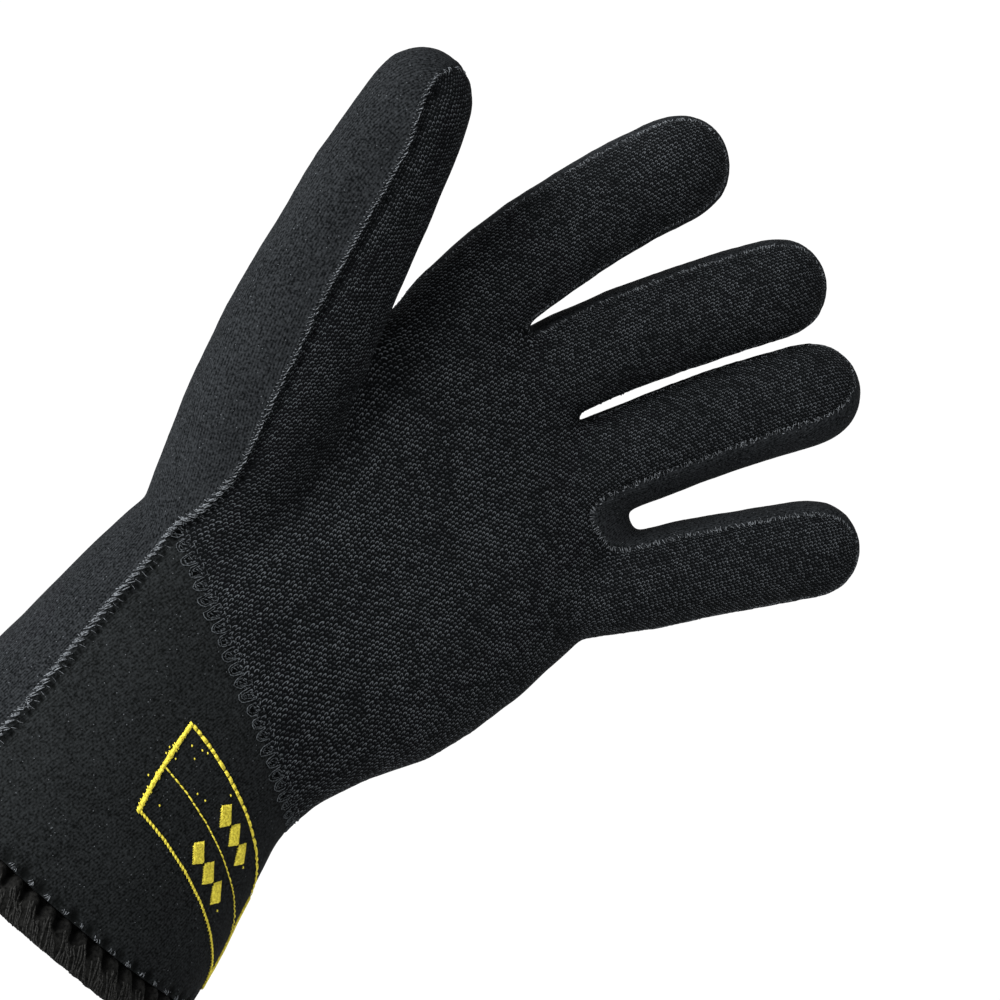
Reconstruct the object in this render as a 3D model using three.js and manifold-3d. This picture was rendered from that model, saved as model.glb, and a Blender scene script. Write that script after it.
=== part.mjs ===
// A diving glove for the left hand, cut from 5 mm neoprene, in the form that it has when worn.
// Millimetres. The origin is the centre of the cuff's opening. +Z runs up the cuff to the
// fingers, the palm faces -Y and the thumb points to -X.
import * as THREE from 'three';
import { mergeVertices } from 'three/addons/utils/BufferGeometryUtils.js';
import Module from 'manifold-3d';

// Driving dimensions of the whole glove
const WALL = 5;
const SEAM_GAP = 0.3;
const CUFF_LENGTH = 64;
const HAND_LENGTH = 143;
const OPENING_WIDTH = 114;
const OPENING_DEPTH = 76;
const WRIST_WIDTH = 94;
const WRIST_DEPTH = 60;
const PALM_WIDTH = 111;
const PALM_DEPTH = 47;
const PALM_TILT = 14;

// Driving dimensions of the fingers and the thumb
const INDEX_LENGTH = 113;
const MIDDLE_LENGTH = 119;
const RING_LENGTH = 113;
const LITTLE_LENGTH = 92;
const THUMB_LENGTH = 161;
const FINGER_WIDTH = 31;
const FINGER_DEPTH = 28;
const THUMB_WIDTH = 36;
const THUMB_DEPTH = 32;
const ROOT_DROP = 28;

// Driving dimensions of the hem and of the embroidered frame
const HEM_HEIGHT = 9.5;
const HEM_PROUD = 0.8;
const FRAME_LENGTH = 62;
const FRAME_HEIGHT = 25.5;
const FRAME_RISE = 2;
const FRAME_LINE = 1.8;
const FRAME_FINE_LINE = 1.1;
const FRAME_RELIEF = 0.7;

// How finely the round shapes are drawn
const BODY_SIDES = 28;
const DIGIT_SIDES = 14;
const BODY_STEPS = 14;
const DIGIT_STEPS = 7;
const TIP_ANGLES = [30, 56, 76];
const LINE_STEPS = 48;
const SHEET_STEP = PALM_WIDTH / 11;
const STRIP_STEP = 4;
const SLOPE_STEP = 0.5;
const MERGE_DISTANCE = 1e-4;

// How square the digits' sections are, and how round their tips
const ELLIPSE = 2;
const DIGIT_SQUARE = 2.15;
const TIP_ROUND = 0.96;

const mix = THREE.MathUtils.lerp;
const radians = THREE.MathUtils.degToRad;
const wasm = await Module();
wasm.setup();

// The sections of cuff and palm, from the opening to the web between the fingers. up is the
// height, side the centre's place in X and out its place in Y, tilt turns the section about Y,
// square is the superellipse's exponent, and hollow dishes the palm's side.
const BODY_ROWS = [
  { up: 0, side: 0, out: 0, tilt: 0,
    wide: OPENING_WIDTH, deep: OPENING_DEPTH, square: 2.1, hollow: 0 },
  { up: 0.32 * CUFF_LENGTH, side: -0.02 * WRIST_WIDTH, out: 0, tilt: 0,
    wide: mix(OPENING_WIDTH, WRIST_WIDTH, 0.3), deep: mix(OPENING_DEPTH, WRIST_DEPTH, 0.35),
    square: 2.1, hollow: 0 },
  { up: 0.66 * CUFF_LENGTH, side: -0.05 * WRIST_WIDTH, out: 0, tilt: 0,
    wide: mix(OPENING_WIDTH, WRIST_WIDTH, 0.72), deep: mix(OPENING_DEPTH, WRIST_DEPTH, 0.75),
    square: 2.1, hollow: 0 },
  { up: CUFF_LENGTH, side: -0.078 * WRIST_WIDTH, out: 0, tilt: 0,
    wide: WRIST_WIDTH, deep: WRIST_DEPTH, square: 2.15, hollow: 0 },
  { up: CUFF_LENGTH + 0.17 * HAND_LENGTH, side: -0.035 * PALM_WIDTH, out: 0.01 * PALM_DEPTH,
    tilt: 0.25 * PALM_TILT, wide: mix(WRIST_WIDTH, PALM_WIDTH, 0.42),
    deep: mix(WRIST_DEPTH, PALM_DEPTH, 0.45), square: 2.25, hollow: 0.02 },
  { up: CUFF_LENGTH + 0.36 * HAND_LENGTH, side: 0.04 * PALM_WIDTH, out: 0.03 * PALM_DEPTH,
    tilt: 0.6 * PALM_TILT, wide: PALM_WIDTH, deep: mix(WRIST_DEPTH, PALM_DEPTH, 0.9),
    square: 2.35, hollow: 0.06 },
  { up: CUFF_LENGTH + 0.55 * HAND_LENGTH, side: 0.08 * PALM_WIDTH, out: 0.05 * PALM_DEPTH,
    tilt: 0.85 * PALM_TILT, wide: 1.03 * PALM_WIDTH, deep: PALM_DEPTH, square: 2.4, hollow: 0.09 },
  { up: CUFF_LENGTH + 0.75 * HAND_LENGTH, side: 0.12 * PALM_WIDTH, out: 0.055 * PALM_DEPTH,
    tilt: PALM_TILT, wide: 1.02 * PALM_WIDTH, deep: 0.82 * PALM_DEPTH, square: 2.5, hollow: 0.06 },
  { up: CUFF_LENGTH + 0.9 * HAND_LENGTH, side: 0.14 * PALM_WIDTH, out: 0.06 * PALM_DEPTH,
    tilt: PALM_TILT, wide: 0.98 * PALM_WIDTH, deep: 0.6 * PALM_DEPTH, square: 2.5, hollow: 0.02 },
  { up: CUFF_LENGTH + 0.97 * HAND_LENGTH, side: 0.15 * PALM_WIDTH, out: 0.06 * PALM_DEPTH,
    tilt: PALM_TILT, wide: 0.93 * PALM_WIDTH, deep: 0.47 * PALM_DEPTH, square: 2.4, hollow: 0 },
];
const WEB_UP = CUFF_LENGTH + HAND_LENGTH;
const WEB_SIDE = 0.155 * PALM_WIDTH;
const WEB_OUT = 0.06 * PALM_DEPTH;

// How the body closes over the web: the share of the way up, and shares of width and depth
const WEB_ROWS = [
  { share: 0.55, wide: 0.95, deep: 0.8 },
  { share: 0.9, wide: 0.86, deep: 0.5 },
  { share: 1, wide: 0.78, deep: 0.2 },
];

// The five digits. across is the root's place on the knuckle line, drop its distance below the
// web, and out its place in Y. lean is the angle to +X, and curl the one to -Y, in degrees at
// the root and at the tip. turn twists the seams round the digit, and spread is half the angle
// that the palm's fabric covers.
const DIGITS = {
  index: { length: INDEX_LENGTH, wide: FINGER_WIDTH, deep: FINGER_DEPTH,
    across: -0.345 * PALM_WIDTH, drop: 1.2 * ROOT_DROP, out: -0.03 * PALM_DEPTH,
    lean: [0, 22], curl: [-1, 13], turn: 4, spread: 62 },
  middle: { length: MIDDLE_LENGTH, wide: 0.97 * FINGER_WIDTH, deep: FINGER_DEPTH,
    across: -0.13 * PALM_WIDTH, drop: ROOT_DROP, out: 0,
    lean: [16, 31], curl: [-1, 14], turn: 2, spread: 62 },
  ring: { length: RING_LENGTH, wide: FINGER_WIDTH, deep: FINGER_DEPTH,
    across: 0.14 * PALM_WIDTH, drop: ROOT_DROP, out: -0.01 * PALM_DEPTH,
    lean: [21, 30], curl: [0, 16], turn: 36, spread: 60 },
  little: { length: LITTLE_LENGTH, wide: 0.96 * FINGER_WIDTH, deep: 0.96 * FINGER_DEPTH,
    across: 0.44 * PALM_WIDTH, drop: ROOT_DROP, out: -0.03 * PALM_DEPTH,
    lean: [32, 37], curl: [2, 18], turn: -5, spread: 62 },
};
const THUMB = { length: THUMB_LENGTH, wide: THUMB_WIDTH, deep: THUMB_DEPTH,
  lean: [-23, -17], curl: [6, 9], turn: -54, spread: 68,
  root: new THREE.Vector3(-0.27 * PALM_WIDTH, -0.06 * PALM_DEPTH, CUFF_LENGTH + 0.2 * HAND_LENGTH) };

// How a digit's width and depth change along it, as shares of its own
const FINGER_PROFILE = [
  { along: 0, wide: 0.8, deep: 0.84 },
  { along: 0.2, wide: 0.95, deep: 0.95 },
  { along: 0.4, wide: 1, deep: 1 },
  { along: 0.7, wide: 0.99, deep: 0.98 },
  { along: 1, wide: 0.98, deep: 0.96 },
];
const THUMB_PROFILE = [
  { along: 0, wide: 0.98, deep: 0.95 },
  { along: 0.25, wide: 1.12, deep: 1.08 },
  { along: 0.45, wide: 1.17, deep: 1.1 },
  { along: 0.7, wide: 1.04, deep: 1.02 },
  { along: 0.88, wide: 0.94, deep: 0.97 },
  { along: 1, wide: 0.8, deep: 0.9 },
];

// Turns a closed geometry into a solid that can be joined and cut.
function solidOf(geometry) {
  geometry.deleteAttribute('normal');
  geometry.deleteAttribute('uv');
  const merged = mergeVertices(geometry, MERGE_DISTANCE);
  return new wasm.Manifold(new wasm.Mesh({
    numProp: 3,
    vertProperties: new Float32Array(merged.attributes.position.array),
    triVerts: new Uint32Array(merged.index.array),
  }));
}

// Turns a solid back into a geometry with flat facets.
function geometryOf(solid) {
  const mesh = solid.getMesh();
  const geometry = new THREE.BufferGeometry();
  geometry.setAttribute('position', new THREE.BufferAttribute(new Float32Array(mesh.vertProperties), 3));
  geometry.setIndex(new THREE.BufferAttribute(new Uint32Array(mesh.triVerts), 1));
  geometry.computeVertexNormals();
  return geometry;
}

// Joins rings of points into one closed solid with a fan over each end, the last one to the
// point tip where that is given, or into a ring-shaped one whose last ring meets its first.
function loft(rings, { closed = false, tip = centreOf(rings.at(-1)) } = {}) {
  const sides = rings[0].length;
  const points = rings.flat();
  const index = [];
  const spans = closed ? rings.length : rings.length - 1;
  for (let i = 0; i < spans; i += 1) {
    for (let j = 0; j < sides; j += 1) {
      const a = i * sides + j;
      const b = i * sides + ((j + 1) % sides);
      const c = ((i + 1) % rings.length) * sides + ((j + 1) % sides);
      const d = ((i + 1) % rings.length) * sides + j;
      index.push(a, b, c, a, c, d);
    }
  }
  if (!closed) {
    const first = points.push(centreOf(rings[0])) - 1;
    const last = points.push(tip) - 1;
    const start = (rings.length - 1) * sides;
    for (let j = 0; j < sides; j += 1) {
      index.push(first, (j + 1) % sides, j, last, start + j, start + ((j + 1) % sides));
    }
  }
  const geometry = new THREE.BufferGeometry().setFromPoints(points);
  geometry.setIndex(index);
  return solidOf(geometry);
}

function centreOf(ring) {
  return ring.reduce((sum, p) => sum.add(p), new THREE.Vector3()).divideScalar(ring.length);
}

// Reads a table of rows at place t, from 0 at the first row to 1 at the last, on smooth curves.
function rowAt(rows, t) {
  const place = THREE.MathUtils.clamp(t, 0, 1) * (rows.length - 1);
  const i = Math.min(Math.floor(place), rows.length - 2);
  const before = rows[Math.max(i - 1, 0)];
  const after = rows[Math.min(i + 2, rows.length - 1)];
  const f = place - i;
  const row = {};
  for (const key of Object.keys(rows[0])) {
    const [a, b] = [rows[i][key], rows[i + 1][key]];
    const [slopeA, slopeB] = [(b - before[key]) / 2, (after[key] - a) / 2];
    const lift = a + slopeA * f + (3 * (b - a) - 2 * slopeA - slopeB) * f ** 2;
    row[key] = lift + (2 * (a - b) + slopeA + slopeB) * f ** 3;
  }
  return row;
}

// The place in a table where one of its rising columns reaches a value.
function placeOf(rows, key, value) {
  let [low, high] = [0, 1];
  for (let step = 0; step < 30; step += 1) {
    const middle = (low + high) / 2;
    if (rowAt(rows, middle)[key] < value) low = middle;
    else high = middle;
  }
  return (low + high) / 2;
}

// A point of a superellipse at an angle, where 0 is +X and 90 degrees is -Y, the palm's side.
function onSection(halfWide, halfDeep, square, angle) {
  const [c, s] = [Math.cos(angle), Math.sin(angle)];
  return [
    halfWide * Math.sign(c) * Math.abs(c) ** (2 / square),
    -halfDeep * Math.sign(s) * Math.abs(s) ** (2 / square),
  ];
}

// A point of the cuff and palm on the section of a row, moved out by grow.
function bodyPoint(row, grow, angle) {
  const [x, y] = onSection(row.wide / 2 + grow, row.deep / 2 + grow, row.square, angle);
  const palmar = Math.max(Math.sin(angle), 0);
  const dish = row.hollow * PALM_DEPTH * palmar ** 2 * Math.sin(angle);
  const tilt = radians(row.tilt);
  return new THREE.Vector3(
    row.side + x * Math.cos(tilt), row.out + y + dish, row.up - x * Math.sin(tilt));
}

// The angles of a section's points, from 0 round to the last one before 360 degrees, in the
// order that runs anticlockwise about the way from the cuff to the fingers.
function anglesOf(sides) {
  return Array.from({ length: sides }, (_, j) => -2 * Math.PI * j / sides);
}

// Cuff and palm as one solid, grown or shrunk by grow all round, with a rounded end at the web.
function bodySolid(grow, from) {
  const rings = [];
  for (let i = 0; i < BODY_STEPS; i += 1) {
    const row = rowAt(BODY_ROWS, i / (BODY_STEPS - 1));
    rings.push(anglesOf(BODY_SIDES).map((angle) => bodyPoint(row, grow, angle)));
  }
  if (from < 0) {
    rings.unshift(rings[0].map((p) => p.clone().add(new THREE.Vector3(0, 0, from))));
  }
  const last = BODY_ROWS.at(-1);
  for (const { share, wide, deep } of WEB_ROWS) {
    const row = { ...last };
    row.up = mix(last.up, WEB_UP + grow, share);
    row.side = mix(last.side, WEB_SIDE, share);
    row.wide = (last.wide + 2 * grow) * wide;
    row.deep = (last.deep + 2 * grow) * deep;
    rings.push(anglesOf(BODY_SIDES).map((angle) => bodyPoint(row, 0, angle)));
  }
  return loft(rings);
}

// The root of a finger on the knuckle line.
function fingerRoot(finger) {
  const tilt = radians(PALM_TILT);
  return new THREE.Vector3(
    WEB_SIDE + finger.across * Math.cos(tilt) - finger.drop * Math.sin(tilt),
    WEB_OUT + finger.out,
    WEB_UP - finger.across * Math.sin(tilt) - finger.drop * Math.cos(tilt));
}

// The digit's middle line: points with their own directions, from root to tip.
function middleLine(digit) {
  const line = [];
  const place = (digit.root ?? fingerRoot(digit)).clone();
  for (let i = 0; i <= LINE_STEPS; i += 1) {
    const t = i / LINE_STEPS;
    const lean = radians(mix(digit.lean[0], digit.lean[1], t));
    const curl = radians(mix(digit.curl[0], digit.curl[1], t));
    const along = new THREE.Vector3(
      Math.sin(lean) * Math.cos(curl), -Math.sin(curl), Math.cos(lean) * Math.cos(curl));
    const across = new THREE.Vector3(Math.cos(lean), 0, -Math.sin(lean));
    const dorsal = new THREE.Vector3().crossVectors(along, across);
    line.push({ t, place: place.clone(), along, across, dorsal });
    place.addScaledVector(along, digit.length / LINE_STEPS);
  }
  return line;
}

// A digit as one solid, grown or shrunk by grow, with a round tip.
function digitSolid(digit, profile, grow) {
  const line = middleLine(digit);
  const tipRadius = TIP_ROUND * (digit.wide + digit.deep) / 4;
  const straight = 1 - tipRadius / digit.length;
  const rings = [];
  const centreAt = (t) => {
    const at = line[Math.min(Math.round(t * LINE_STEPS), LINE_STEPS)];
    const rest = (t - at.t) * digit.length;
    return { at, centre: at.place.clone().addScaledVector(at.along, rest) };
  };
  const addRing = (t, scale) => {
    const { at, centre } = centreAt(t);
    const row = rowAt(profile, placeOf(profile, 'along', Math.min(t / straight, 1)));
    const halfWide = scale * (row.wide * digit.wide / 2 + grow);
    const halfDeep = scale * (row.deep * digit.deep / 2 + grow);
    rings.push(anglesOf(DIGIT_SIDES).map((angle) => {
      const [x, y] = onSection(halfWide, halfDeep, DIGIT_SQUARE, angle);
      return centre.clone().addScaledVector(at.across, x).addScaledVector(at.dorsal, y);
    }));
  };
  for (let i = 0; i < DIGIT_STEPS; i += 1) addRing(straight * i / (DIGIT_STEPS - 1), 1);
  for (const angle of TIP_ANGLES) {
    const rise = Math.sin(radians(angle)) * (tipRadius + grow);
    addRing(straight + rise / digit.length, Math.cos(radians(angle)));
  }
  return loft(rings, { tip: centreAt(straight + (tipRadius + grow) / digit.length).centre });
}

function everyDigit(make) {
  const fingers = Object.values(DIGITS).map((finger) => make(finger, FINGER_PROFILE));
  return [...fingers, make(THUMB, THUMB_PROFILE)];
}

function joined(solids) {
  return solids.reduce((sum, solid) => sum.add(solid));
}

// The whole glove grown by grow: filled, with no hollow yet.
function handSolid(grow, from) {
  return joined([bodySolid(grow, from), ...everyDigit((d, profile) => digitSolid(d, profile, grow))]);
}

// Where the seams lie round cuff and palm, as angles from +X over -Y
const RADIAL_SEAM = [134, 137, 144, 146];
const ULNAR_SEAM = 5;

// How the sheet that parts palm from back passes from the body's plane to the digits'. The body
// lets go between two heights about the web, as shares of ROOT_DROP, and a digit takes hold
// between two places along it.
const BODY_LETS_GO = [-1.6, 0.6];
const DIGIT_TAKES_HOLD = [0.1, 0.36];
const BODY_PULL = 1.2;
const DIGIT_PULL = 6;
const PULL_SOFTNESS = 0.04;
const LEAST_PULL = 1e-6;

// The sheet that parts palm from back crosses each digit and the body as a slanting plane, given
// by its two seam angles. Here is that plane's depth at a distance x from the middle line.
function planeDepth(halfWide, halfDeep, angleA, angleB, x) {
  const a = onSection(halfWide, halfDeep, ELLIPSE, radians(angleA));
  const b = onSection(halfWide, halfDeep, ELLIPSE, radians(angleB));
  return a[1] + (b[1] - a[1]) * (x - a[0]) / (b[0] - a[0]);
}

const LINES = everyDigit((digit) => ({ digit, line: middleLine(digit) }));

// The depth of the sheet between palm and back at a place seen from the front. Near a digit's
// middle line that digit's own plane counts most, and below the knuckles the body's.
function sheetDepth(x, z) {
  const t = placeOf(BODY_ROWS, 'up', z);
  const row = rowAt(BODY_ROWS, t);
  const radial = rowAt(RADIAL_SEAM.map((angle) => ({ angle })), t).angle;
  const bodyDepth = row.out + planeDepth(row.wide / 2, row.deep / 2, radial, ULNAR_SEAM, x - row.side);
  const [low, high] = BODY_LETS_GO.map((share) => WEB_UP + share * ROOT_DROP);
  const fade = 1 - THREE.MathUtils.smoothstep(z, low, high);
  let weight = BODY_PULL * fade ** 2 + LEAST_PULL;
  let sum = weight * bodyDepth;
  for (const { digit, line } of LINES) {
    const here = new THREE.Vector3(x, 0, z);
    let best = line[0];
    let least = Infinity;
    for (const at of line) {
      const distance = Math.hypot(here.x - at.place.x, here.z - at.place.z);
      if (distance < least) [best, least] = [at, distance];
    }
    const offset = (here.x - best.place.x) * best.across.x + (here.z - best.place.z) * best.across.z;
    const sideways = THREE.MathUtils.clamp(offset, -digit.wide, digit.wide);
    const depth = best.place.y + planeDepth(digit.wide / 2, digit.deep / 2,
      90 + digit.turn + digit.spread, 90 + digit.turn - digit.spread, sideways);
    const hold = THREE.MathUtils.smoothstep(best.t, ...DIGIT_TAKES_HOLD);
    const share = DIGIT_PULL * hold / (PULL_SOFTNESS + (least / (digit.wide / 2)) ** 4);
    weight += share;
    sum += share * depth;
  }
  return sum / weight;
}

// The solid in front of the sheet, set off from it by clear, measured square to the sheet.
function frontSide(clear) {
  const reach = 2 * PALM_WIDTH;
  const low = -HEM_HEIGHT;
  const high = WEB_UP + MIDDLE_LENGTH;
  const columns = Math.ceil(2 * reach / SHEET_STEP);
  const rows = Math.ceil((high - low) / SHEET_STEP);
  const points = [];
  for (let i = 0; i <= rows; i += 1) {
    for (let j = 0; j <= columns; j += 1) {
      const x = -reach + 2 * reach * j / columns;
      const z = low + (high - low) * i / rows;
      const stepX = sheetDepth(x + SLOPE_STEP, z) - sheetDepth(x - SLOPE_STEP, z);
      const stepZ = sheetDepth(x, z + SLOPE_STEP) - sheetDepth(x, z - SLOPE_STEP);
      const [slopeX, slopeZ] = [stepX, stepZ].map((rise) => rise / (2 * SLOPE_STEP));
      const y = sheetDepth(x, z) + clear * Math.hypot(1, slopeX, slopeZ);
      points.push(new THREE.Vector3(x, y, z));
    }
  }
  const front = -2 * (PALM_DEPTH + OPENING_DEPTH);
  const behind = points.length;
  points.push(...points.map((p) => new THREE.Vector3(p.x, front, p.z)));
  const width = columns + 1;
  const index = [];
  const quad = (a, b, c, d) => index.push(a, b, c, a, c, d);
  for (let i = 0; i < rows; i += 1) {
    for (let j = 0; j < columns; j += 1) {
      const a = i * width + j;
      quad(a, a + width, a + width + 1, a + 1);
      quad(behind + a, behind + a + 1, behind + a + width + 1, behind + a + width);
    }
  }
  for (let j = 0; j < columns; j += 1) {
    const top = rows * width + j;
    quad(j, j + 1, behind + j + 1, behind + j);
    quad(top, behind + top, behind + top + 1, top + 1);
  }
  for (let i = 0; i < rows; i += 1) {
    const left = i * width;
    const right = i * width + columns;
    quad(left, behind + left, behind + left + width, left + width);
    quad(right, right + width, behind + right + width, behind + right);
  }
  const geometry = new THREE.BufferGeometry().setFromPoints(points);
  geometry.setIndex(index);
  return solidOf(geometry);
}

// The wrist seam runs down from the thumb's side to the little finger's, with a shallow bow
const WRIST_SEAM_TOP = CUFF_LENGTH + 0.25 * HAND_LENGTH;
const WRIST_SEAM_FOOT = CUFF_LENGTH + 0.005 * HAND_LENGTH;
const WRIST_SEAM_WIDTH = 0.84 * WRIST_WIDTH;
const WRIST_SEAM_BOW = 0.02 * HAND_LENGTH;

// All that lies above the wrist seam, raised by lift.
function aboveWristSeam(lift) {
  const reach = 2 * PALM_WIDTH;
  const slope = (WRIST_SEAM_TOP - WRIST_SEAM_FOOT) / WRIST_SEAM_WIDTH;
  const middle = (WRIST_SEAM_TOP + WRIST_SEAM_FOOT) / 2 + lift;
  const outline = new THREE.Shape();
  outline.moveTo(-reach, middle + slope * reach);
  outline.quadraticCurveTo(0, middle - WRIST_SEAM_BOW, reach, middle - slope * reach);
  outline.lineTo(reach, 2 * WEB_UP);
  outline.lineTo(-reach, 2 * WEB_UP);
  const depth = 4 * OPENING_DEPTH;
  const geometry = new THREE.ExtrudeGeometry(outline, { depth, bevelEnabled: false, curveSegments: 16 });
  geometry.rotateX(Math.PI / 2);
  geometry.translate(0, depth / 2, 0);
  return solidOf(geometry);
}

// All that lies above a height.
function above(height) {
  const size = 8 * OPENING_WIDTH;
  const geometry = new THREE.BoxGeometry(size, size, size);
  geometry.translate(0, 0, height + size / 2);
  return solidOf(geometry);
}

// The section of the cuff's bound edge: shares of its height, and of how proud it stands
const HEM_SECTION = [
  { share: 0, proud: 0.1 },
  { share: 0.14, proud: 1 },
  { share: 0.86, proud: 1 },
  { share: 1, proud: 0.1 },
];
const HEM_INNER_PROUD = 0.4 * HEM_PROUD;

// The bound edge of the cuff, a ring a little thicker than the wall.
function hemSolid() {
  const ring = (share, grow) => {
    const row = rowAt(BODY_ROWS, placeOf(BODY_ROWS, 'up', share * HEM_HEIGHT));
    row.up = share * HEM_HEIGHT;
    return anglesOf(BODY_SIDES).map((angle) => bodyPoint(row, grow, angle));
  };
  const outside = HEM_SECTION.map(({ share, proud }) => ring(share, proud * HEM_PROUD));
  const inside = HEM_SECTION.map(({ share, proud }) => ring(share, -WALL - proud * HEM_INNER_PROUD));
  return loft([...outside, ...inside.reverse()], { closed: true });
}

// The frame starts at an angle round the cuff. Its sides slant, and its far end hangs lower.
const FRAME_START = 93;
const FRAME_SLANT = 0.2;
const FRAME_DROOP = [0.19, 0.79];
const WALK_STEP = -1;

// The section and the angle at a distance s round the cuff from the frame's near side.
function frameAngle(s, up) {
  const row = rowAt(BODY_ROWS, placeOf(BODY_ROWS, 'up', up));
  let angle = radians(FRAME_START);
  let walked = 0;
  const step = radians(WALK_STEP);
  let last = bodyPoint(row, 0, angle);
  while (walked < s) {
    const next = bodyPoint(row, 0, angle + step);
    const stride = next.distanceTo(last);
    if (walked + stride > s) return { row, angle: angle + step * (s - walked) / stride };
    walked += stride;
    angle += step;
    last = next;
  }
  return { row, angle };
}

// A point of the frame on the cuff: s runs round it to the little finger's side, t runs down.
function framePoint(s, t, proud) {
  const share = s / FRAME_LENGTH;
  const droop = FRAME_HEIGHT * (FRAME_DROOP[0] * share + FRAME_DROOP[1] * share ** 2);
  const up = CUFF_LENGTH + FRAME_RISE - t - droop;
  const { row, angle } = frameAngle(s + FRAME_SLANT * t, up);
  return bodyPoint({ ...row, up }, proud, angle);
}

// One stitched line of the frame, from one place to another, as a strip that stands proud of the
// cuff and reaches into it.
function frameLine(from, to, width) {
  const steps = Math.ceil(Math.hypot(to[0] - from[0], to[1] - from[1]) / STRIP_STEP);
  const alongS = Math.abs(to[0] - from[0]) > Math.abs(to[1] - from[1]);
  const proud = SEAM_GAP + FRAME_RELIEF;
  const rings = [];
  for (let i = 0; i <= steps; i += 1) {
    const s = mix(from[0], to[0], i / steps);
    const t = mix(from[1], to[1], i / steps);
    const [ds, dt] = alongS ? [0, width / 2] : [width / 2, 0];
    rings.push([
      framePoint(s - ds, t - dt, -FRAME_RELIEF), framePoint(s - ds, t - dt, proud),
      framePoint(s + ds, t + dt, proud), framePoint(s + ds, t + dt, -FRAME_RELIEF),
    ]);
  }
  return loft(alongS ? rings : rings.map((ring) => ring.reverse()));
}

// The stitched frame, cut back to lie just clear of the cuff.
function embroiderySolid() {
  const end = FRAME_LENGTH;
  const low = FRAME_HEIGHT;
  return joined([
    frameLine([-FRAME_LINE / 2, 0], [end + FRAME_FINE_LINE / 2, 0], FRAME_LINE),
    frameLine([-FRAME_LINE / 2, low], [end + FRAME_FINE_LINE / 2, low], FRAME_FINE_LINE),
    frameLine([0, low / 2], [end, low / 2], FRAME_FINE_LINE),
    frameLine([0, -FRAME_LINE / 2], [0, low + FRAME_FINE_LINE / 2], FRAME_LINE),
    frameLine([end, -FRAME_LINE / 2], [end, low + FRAME_FINE_LINE / 2], FRAME_FINE_LINE),
  ]).subtract(bodySolid(SEAM_GAP, 0));
}

const shell = handSolid(0, 0)
  .subtract(handSolid(-WALL, -4 * WALL))
  .intersect(above(HEM_HEIGHT + SEAM_GAP));
const front = shell.intersect(frontSide(-SEAM_GAP / 2));
const solids = {
  back_panel: shell.subtract(frontSide(SEAM_GAP / 2)),
  palm_panel: front.intersect(aboveWristSeam(SEAM_GAP / 2)),
  cuff_panel: front.subtract(aboveWristSeam(-SEAM_GAP / 2)),
  cuff_hem: hemSolid(),
  embroidery: embroiderySolid(),
};

const MATERIALS = {
  back_panel: { color: '#25272a', roughness: 0.85 },
  palm_panel: { color: '#1d2023', roughness: 0.95 },
  cuff_panel: { color: '#212426', roughness: 0.85 },
  cuff_hem: { color: '#17191b', roughness: 0.95 },
  embroidery: { color: '#d8c63c', roughness: 0.55 },
};

const glove = new THREE.Group();
for (const [name, solid] of Object.entries(solids)) {
  const material = new THREE.MeshStandardMaterial({ ...MATERIALS[name], metalness: 0 });
  const mesh = new THREE.Mesh(geometryOf(solid), material);
  mesh.name = name;
  glove.add(mesh);
}

export default glove;
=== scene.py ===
import math
import random

import bpy
import numpy as np
from mathutils import Matrix, Vector, noise
from mathutils.bvhtree import BVHTree


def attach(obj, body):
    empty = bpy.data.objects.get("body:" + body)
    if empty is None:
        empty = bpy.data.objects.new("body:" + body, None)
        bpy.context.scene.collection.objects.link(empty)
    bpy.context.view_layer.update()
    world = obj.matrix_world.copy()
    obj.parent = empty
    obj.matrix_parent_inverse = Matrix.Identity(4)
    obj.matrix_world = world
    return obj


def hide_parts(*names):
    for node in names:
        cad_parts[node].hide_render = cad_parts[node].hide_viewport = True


# A diving glove for the left hand, cut from 5 mm neoprene, in the form that it has when worn.
# Metres. The origin is the centre of the cuff's opening, +Z runs up to the fingers, the palm
# faces -Y and the thumb points to -X.
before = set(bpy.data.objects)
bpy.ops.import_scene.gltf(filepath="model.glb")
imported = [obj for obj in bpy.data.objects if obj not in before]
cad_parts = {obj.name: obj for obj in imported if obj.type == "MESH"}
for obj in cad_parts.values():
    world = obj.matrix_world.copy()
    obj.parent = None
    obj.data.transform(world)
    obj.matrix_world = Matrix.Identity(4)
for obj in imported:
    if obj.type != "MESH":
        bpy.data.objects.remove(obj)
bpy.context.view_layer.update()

MM = 0.001
PANELS = ("back_panel", "palm_panel", "cuff_panel")
BACK, PALM, CUFF = 0, 1, 2
random.seed(7)

# The neoprene's thickness, less what its knit takes, and the height of the panels' foot above
# the opening
WALL = 4.6 * MM
CUFF_FOOT = 9.9 * MM

# The copies of the panels that the skin is made from: how much they grow to close the gaps
# between them, and how far below the foot and outwards they reach, to be cut level there
COPY_GROWTH = 0.2 * MM
FOOT_SPARE = 8 * MM
FOOT_FLARE = 1.02

# The smooth skin: a first fine mesh is shrunk, so that the narrow gaps between the fingers stay
# open, then meshed again at the skin's own step, smoothed, and let out past where it lay
FINE_STEP = 0.9 * MM
SKIN_SHRINK = 1.0 * MM
SKIN_STEP = 1.6 * MM
SKIN_SMOOTHING = 16
SKIN_PUSH = 0.7 * MM

# The seam lines: the rounds that smooth the fields they are read from and then the lines, and how
# far a corner of the mesh is moved onto one at most
FIELD_SMOOTHING = 10
SEAM_SMOOTHING = 10
BORDER_MOVE = 1.2 * MM

# How much further round to the palm the seam up the thumb lies than the part's own border, on
# which side of the thumb in X and Y, and the stretches of it over which this begins and ends
THUMB_SHIFT = 3.6 * MM
THUMB_SIDE = (-0.77, -0.64)
THUMB_BEGIN = (5 * MM, 45 * MM)
THUMB_END = (130 * MM, 155 * MM)

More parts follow.
